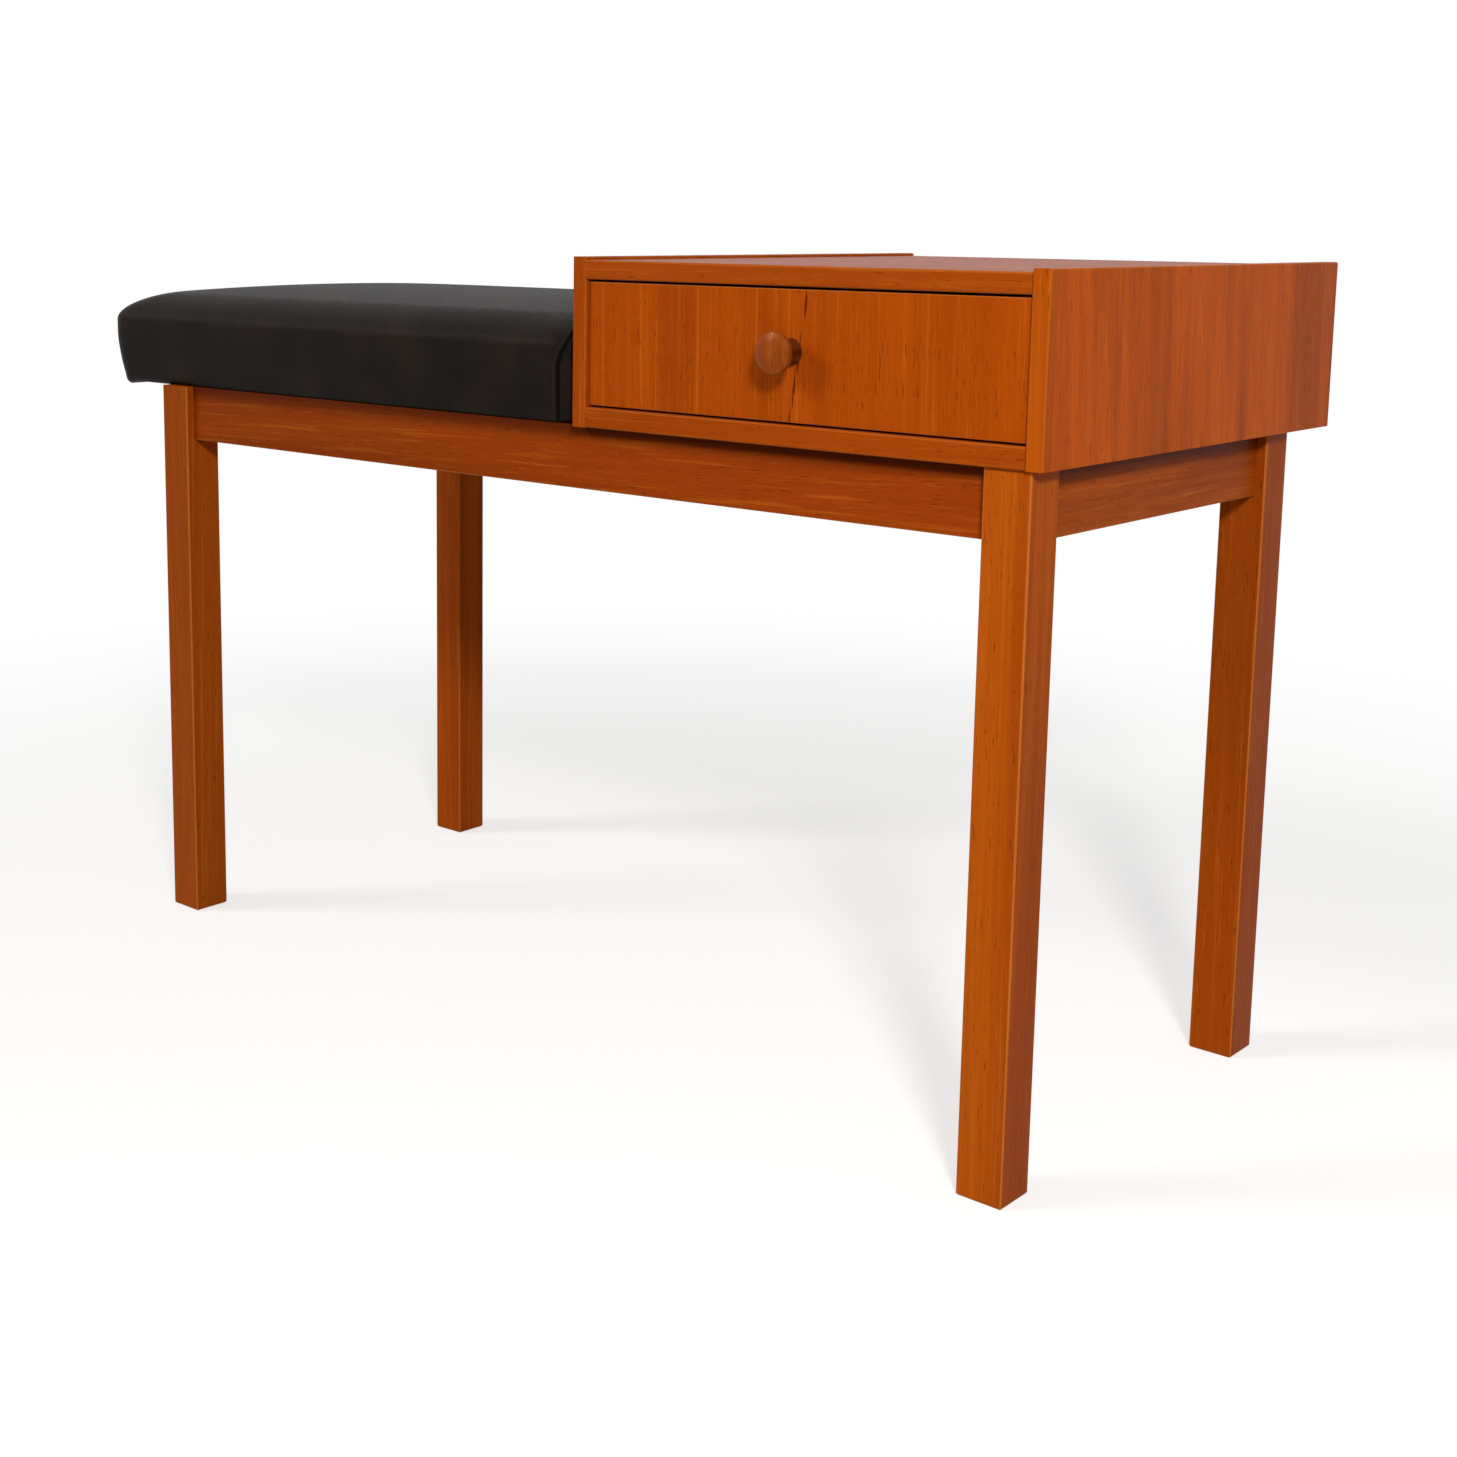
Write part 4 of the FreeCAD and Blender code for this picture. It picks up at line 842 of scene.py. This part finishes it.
        # The way round the corner in degrees, and how far before it a point of the long side lies.
        angle = np.degrees(np.arctan2(turns[:, 0], np.abs(turns[:, 1])))[None, :] * np.ones_like(high)
        before = np.maximum(0.0, self.middle[0] + self.half_length - self.corner - x)
        arc = np.radians(angle) * (self.corner + 2 * MM)
        along = np.where(angle > 0.01, arc, -before)
        bend = self.pleat_turn + 50 * smooth_step(high, 31 * MM, 73 * MM) ** 1.5
        # From here on, what lies off the line and how far it stands out are in millimetres.
        off = (along - np.radians(bend) * (self.corner + 2 * MM)) / MM
        lip = 0.8 * hump(off, (-4.2, -1.3), (-1.0, 0.0))
        groove = -2.6 * hump(off, (-0.7, 0.2), (0.7, 1.7))
        beyond = -0.8 * hump(off, (-0.3, 0.5), (3.0, 14.0))
        wrinkle = 0.40 * np.sin(off * 1.2 + high / MM * 0.55) * hump(off, (1.8, 3.6), (8.0, 16.0))
        wrinkle = wrinkle * smooth_step(high, 12 * MM, 30 * MM)
        depth = (lip + groove + beyond + wrinkle) * MM * hump(high, (0.2 * MM, 3 * MM), (58 * MM, 67 * MM))
        depth = depth * (lift[:, None] < 0.999) * (angle < 89.0)
        near = (x > self.middle[0] + self.half_length - 60 * MM) & (high > 0.15 * MM)
        depth = np.where(near & (np.abs(y - self.middle[1]) > self.half_width - 60 * MM), depth, 0.0)
        outward = np.column_stack((turns, np.zeros(len(turns))))
        return points + outward[None] * depth[..., None]

    def build(self) -> Object:
        """Make the cover: the formula's surface, drawn to the swollen pad, pleated, and sagging at the left.

        Returns:
            The cover.
        """
        points, lift = self.form(0.0, True)
        rows, columns = points.shape[:2]
        pole = np.array([[*self.middle, self.foot + self.wall + self.edge_rise + self.crown]])
        drawn = np.vstack((points.reshape(-1, 3), pole))
        cover = mesh_object("seat_cover_leather", drawn, self.quads(rows, columns))
        pad = self.filled()
        fit = cover.modifiers.new("fit_to_filling", "SHRINKWRAP")
        fit.target, fit.wrap_method, fit.project_limit = pad, "PROJECT", 8 * MM
        fit.use_negative_direction, fit.use_positive_direction = True, True
        bpy.context.view_layer.objects.active = cover
        bpy.ops.object.modifier_apply(modifier=fit.name)
        bpy.data.objects.remove(pad, do_unlink=True)
        # The filled form's own unevenness comes in smoothly from 4 to 26 mm up, as the board holds its foot.
        share = smooth_step(drawn[:, 2] - self.foot, 4 * MM, 26 * MM)[:, None]
        off = read_points(cover.data) - drawn
        # The leather is stiffer than the mesh, so the unevenness is evened out over some 20 mm of it.
        ease = off[:-1].reshape(rows, columns, 3)
        for _ in range(self.pad_passes):
            ease = (np.roll(ease, 1, axis=1) + 2 * ease + np.roll(ease, -1, axis=1)) / 4
            ends = np.concatenate((ease[:1], ease, ease[-1:]))
            ease = (ends[:-2] + 2 * ease + ends[2:]) / 4
        off[:-1] = ease.reshape(-1, 3)
        flat = drawn + self.pad_share * share * off
        shaped = self.pleats(flat[:-1].reshape(rows, columns, 3), lift)
        # Past the left-hand legs nothing bears the lowest 7 mm, and they sag.
        low = np.clip(1 - (shaped[..., 2] - self.foot) / (7 * MM), 0, 1)
        out = self.middle[0] - self.half_length
        shaped[..., 2] -= self.sag * low * smooth_step(shaped[..., 0], out + 30 * MM, out + 12 * MM)
        # The leather presses on the cabinet's side and goes no further.
        shaped[..., 0] = np.minimum(shaped[..., 0], self.middle[0] + self.half_length)
        flat[:-1] = shaped.reshape(-1, 3)
        cover.data.vertices.foreach_set("co", flat.ravel())
        cover.data.update()
        cover.data.materials.append(self.leather)
        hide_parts("seat_cover", "seat_foam")
        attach(cover, "bench")
        log.info("seat_cover_leather has %d faces", len(cover.data.polygons))
        return cover

    def dress(self) -> None:
        """Finish the board, foam, staples and screws."""
        dress("seat_board", BirchPlywood(Grain.ALONG_Z).material("seat_board"))
        dress("seat_foam", FoamRubber().material())
        dress("seat_cover", self.leather)
        for name in ("cover_staples", "seat_screws"):
            dress(name, self.steel)


@dataclass
class Cabinet:
    """The small teak cabinet, with its plywood back, beech runners and hidden fastenings.

    Attributes:
        steel: The finish of the screws and pins.
    """

    steel: Material

    def dress(self) -> None:
        """Finish the sides, lippings, top, bottom, rails, back and fastenings."""
        # Painted light and shade: each piece's main colour is also made lighter or darker by how the light
        # falls on it.
        for name, grain, place, heart, slant in (
                ("cabinet_side_left", Grain.ALONG_Z, (9.1, 0.4, 0.2), "#ad4e0e", 2.5),
                ("cabinet_side_right", Grain.ALONG_Z, (10.4, 1.7, 0.9), "#c8590e", -3.0),
                ("side_lipping_left", Grain.ALONG_Z, (11.9, 2.2, 0.1), "#ab4c0d", 0.5),
                ("side_lipping_right", Grain.ALONG_Z, (12.7, 3.1, 0.6), "#b9560c", 0.5),
                ("cabinet_top", Grain.ALONG_X, (13.5, 0.8, 0.3), "#a0440a", 1.0),
                ("top_rail", Grain.ALONG_X, (14.2, 1.1, 0.5), "#a2480e", 0.5),
                ("cabinet_bottom", Grain.ALONG_X, (15.8, 1.9, 0.7), "#a5460c", 1.0),
                ("bottom_rail", Grain.ALONG_X, (16.3, 2.7, 0.8), "#a0450a", 0.5)):
            wide = 34 * MM if name.startswith("cabinet_side") else 22 * MM
            dress(name, OiledTeak(grain, place, heart=heart, band_width=wide, slant=slant,
                                  edge_highlight_share=0.14).material(name))
        dress("cabinet_back", BirchPlywood(Grain.ALONG_Y).material("cabinet_back"))
        dress("cabinet_dowels", PlainBeech(Grain.ALONG_X).material("cabinet_dowels"))
        for side in ("left", "right"):
            dress(f"drawer_runner_{side}", PlainBeech(Grain.ALONG_Y).material(f"runner_{side}"))
        for name in ("back_panel_pins", "cabinet_screws", "runner_screws"):
            dress(name, self.steel)


@dataclass
class Drawer:
    """The drawer: a teak front and knob, and a beech box with a plywood bottom.

    Attributes:
        steel: The finish of the knob's screw and the pins.
    """

    steel: Material

    def dress(self) -> None:
        """Finish the front, knob, box and fastenings."""
        front = OiledTeak(Grain.ALONG_Z, (17.6, 0.3, 0.4), heart="#aa4807", deep="#8e3a06",
                          band_width=30 * MM, band_share=0.55, slant=0.6, streak=(259.5 * MM, 474 * MM, 8.0))
        # Painted shade: the knob's neck is painted darker towards the drawer front, where its head shades it.
        knob = OiledTeak(Grain.ALONG_Z, (18.9, 1.2, 0.7), heart="#96440e", pale="#b0642a", deep="#742f08",
                         pore="#3c0f06", roughness=0.24, shine=0.12, edge_highlight_share=0.06,
                         painted_shade=(Grain.ALONG_Y, -186.0 * MM, -180.5 * MM, 0.9))
        dress("drawer_front", front.material("drawer_front"))
        dress("drawer_knob", knob.material("drawer_knob"))
        for side in ("left", "right"):
            dress(f"drawer_side_{side}", PlainBeech(Grain.ALONG_Y).material(f"drawer_side_{side}"))
        dress("drawer_back", PlainBeech(Grain.ALONG_X).material("drawer_back"))
        dress("drawer_bottom", BirchPlywood(Grain.ALONG_Z).material("drawer_bottom"))
        for name in ("drawer_bottom_pins", "knob_screw"):
            dress(name, self.steel)


@dataclass
class Studio:
    """A plain pale floor and surround, two soft lamps, and the photograph's camera.

    Attributes:
        eye: The camera's place.
        heading: How far it is turned from north, in degrees against the clock.
        tilt: How far it looks up, in degrees.
        roll: Its roll in degrees.
        focal: The focal length in pixels of the square frame.
        frame_width: The frame's width in pixels.
        axis_spot: The pixel that the camera's axis meets.
        paper: The floor's colour.
        reach: Half the floor's width.
        fade: How far from the middle the floor starts to fade to white, and how far out it is white.
        glow: The white that is added to the floor as it is seen.
        ambient: The surround's strength for light on the object.
        lamp_tint: The colour of both lamps.
    """

    eye: tuple[float, float, float] = (964.314 * MM, -1130.524 * MM, 549.013 * MM)
    heading: float = 42.032
    tilt: float = -8.946
    roll: float = 0.529
    focal: float = 2049.695
    frame_width: float = 1457.0
    axis_spot: tuple[float, float] = (592.284, 542.027)
    paper: str = "#c2c1c0"
    reach: float = 14.0
    fade: tuple[float, float] = (0.55, 1.5)
    glow: float = 0.60
    ambient: float = 0.27
    lamp_tint: str = "#fffdf8"

    def set_camera(self) -> None:
        """Stand the camera where the photograph was taken: its axes are the view's right, up and back."""
        turn, tilt, roll = (math.radians(value) for value in (self.heading, self.tilt, self.roll))
        ahead = np.array((-math.sin(turn) * math.cos(tilt), math.cos(turn) * math.cos(tilt), math.sin(tilt)))
        level = np.array((math.cos(turn), math.sin(turn), 0.0))
        upward = np.cross(level, ahead)
        right = math.cos(roll) * level + math.sin(roll) * upward
        up = math.cos(roll) * upward - math.sin(roll) * level
        pose = np.eye(4)
        pose[:3] = np.column_stack((right, up, -ahead, self.eye))
        lens = bpy.data.cameras.new("studio_camera")
        lens.sensor_width, lens.sensor_fit = 36.0, "HORIZONTAL"
        lens.lens = self.focal / self.frame_width * lens.sensor_width
        lens.shift_x = (self.frame_width / 2 - self.axis_spot[0]) / self.frame_width
        lens.shift_y = (self.axis_spot[1] - self.frame_width / 2) / self.frame_width
        lens.clip_start, lens.clip_end = 0.05, 60.0
        camera = bpy.data.objects.new("studio_camera", lens)
        camera.matrix_world = Matrix(pose.tolist())
        bpy.context.scene.collection.objects.link(camera)
        bpy.context.scene.camera = camera

    def hang(self, name: str, kind: str, back: np.ndarray, place: np.ndarray, **settings: object) -> None:
        """Hang a lamp so that it shines against a direction.

        Args:
            name: The lamp's name.
            kind: Its kind: SUN or AREA.
            back: The direction from the object to the lamp.
            place: Where it hangs.
            settings: Its strength and size.
        """
        lamp = bpy.data.lights.new(name, kind)
        lamp.color = linear(self.lamp_tint)[:3]
        for key, value in settings.items():
            setattr(lamp, key, value)
        back = back / np.linalg.norm(back)
        side = np.cross((0.0, 0.0, 1.0), back)
        side /= np.linalg.norm(side)
        pose = np.eye(4)
        pose[:3] = np.column_stack((side, np.cross(back, side), back, place))
        hung = bpy.data.objects.new(name, lamp)
        hung.matrix_world = Matrix(pose.tolist())
        bpy.context.scene.collection.objects.link(hung)

    def set_surround(self) -> None:
        """Make the surround white to the eye and in reflections, and softer as light on the object."""
        world = bpy.data.worlds.new("studio_surround")
        world.use_nodes = True
        tree = world.node_tree
        tree.nodes.clear()
        strength = add_node(tree, "ShaderNodeMapRange", {"Value": seen_rays(tree), "To Min": self.ambient})
        light = add_node(tree, "ShaderNodeBackground",
                         {"Color": WHITE, "Strength": strength.outputs["Result"]})
        add_node(tree, "ShaderNodeOutputWorld", {"Surface": light.outputs[0]})
        bpy.context.scene.world = world

    def lay_floor(self) -> None:
        """Lay the floor: pale paper that keeps the shadow near the bench and fades to white further out."""
        points = np.array([(-1, -1, 0), (1, -1, 0), (1, 1, 0), (-1, 1, 0)]) * self.reach
        floor = mesh_object("studio_floor", points, np.array([[0, 1, 2, 3]]))
        made, tree, spot = start_material("matt_studio_paper")
        seen = seen_rays(tree)
        far = add_node(tree, "ShaderNodeVectorMath", {0: spot["Object"]}, operation="LENGTH")
        fade = add_node(tree, "ShaderNodeMapRange",
                        {"Value": far.outputs["Value"], "From Min": self.fade[0], "From Max": self.fade[1]},
                        interpolation_type="SMOOTHSTEP")
        lifted = add_node(tree, "ShaderNodeMath", {0: seen, 1: self.glow}, operation="MULTIPLY")
        matt = add_node(tree, "ShaderNodeBsdfPrincipled",
                        {"Base Color": linear(self.paper), "Roughness": 0.9, "Specular IOR Level": 0.0,
                         "Emission Color": WHITE, "Emission Strength": lifted.outputs[0]})
        white = add_node(tree, "ShaderNodeEmission", {"Color": WHITE, "Strength": 1.0})
        part = add_node(tree, "ShaderNodeMath", {0: fade.outputs["Result"], 1: seen}, operation="MULTIPLY")
        both = add_node(tree, "ShaderNodeMixShader",
                        {0: part.outputs[0], 1: matt.outputs[0], 2: white.outputs[0]})
        # Seen from below, the floor is clear, so that the underside shows.
        below = add_node(tree, "ShaderNodeNewGeometry")
        clear = add_node(tree, "ShaderNodeBsdfTransparent")
        both = add_node(tree, "ShaderNodeMixShader",
                        {0: below.outputs["Backfacing"], 1: both.outputs[0], 2: clear.outputs[0]})
        add_node(tree, "ShaderNodeOutputMaterial", {"Surface": both.outputs[0]})
        floor.data.materials.append(made)

    def build(self) -> None:
        """Set the camera, the lamps, the surround and the floor.

        The left lamp is a soft sun. The right one is a round soft lamp near the bench, which lights what is
        close to it more.
        """
        self.set_camera()
        self.hang("left_light", "SUN", np.array((-0.72, -0.78, 0.58)), np.array((0.0, 0.0, 2.0)),
                  energy=1.15, angle=math.radians(18.0))
        window, aim = np.array((1.60, -1.50, 1.42)), np.array((0.30, -0.10, 0.42))
        self.hang("right_light", "AREA", window - aim, window, shape="DISK", size=0.36, energy=35.0)
        self.set_surround()
        self.lay_floor()
        bpy.context.scene.view_settings.view_transform = "Standard"
        log.info("the studio is set")


def main() -> None:
    """Build the studio and dress each sub-assembly in turn."""
    steel = BrightSteel().material()
    Studio().build()
    LegFrame().dress()
    seat = PaddedSeat(BlackLeather().material(), steel)
    seat.build()
    seat.dress()
    Cabinet(steel).dress()
    Drawer(steel).dress()
    missing = [name for name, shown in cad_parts.items()
               if not shown.hide_render and not any(held.material for held in shown.material_slots)]
    log.info("nodes without a finish: %s", missing or "none")


if __name__ == "__main__":
    main()
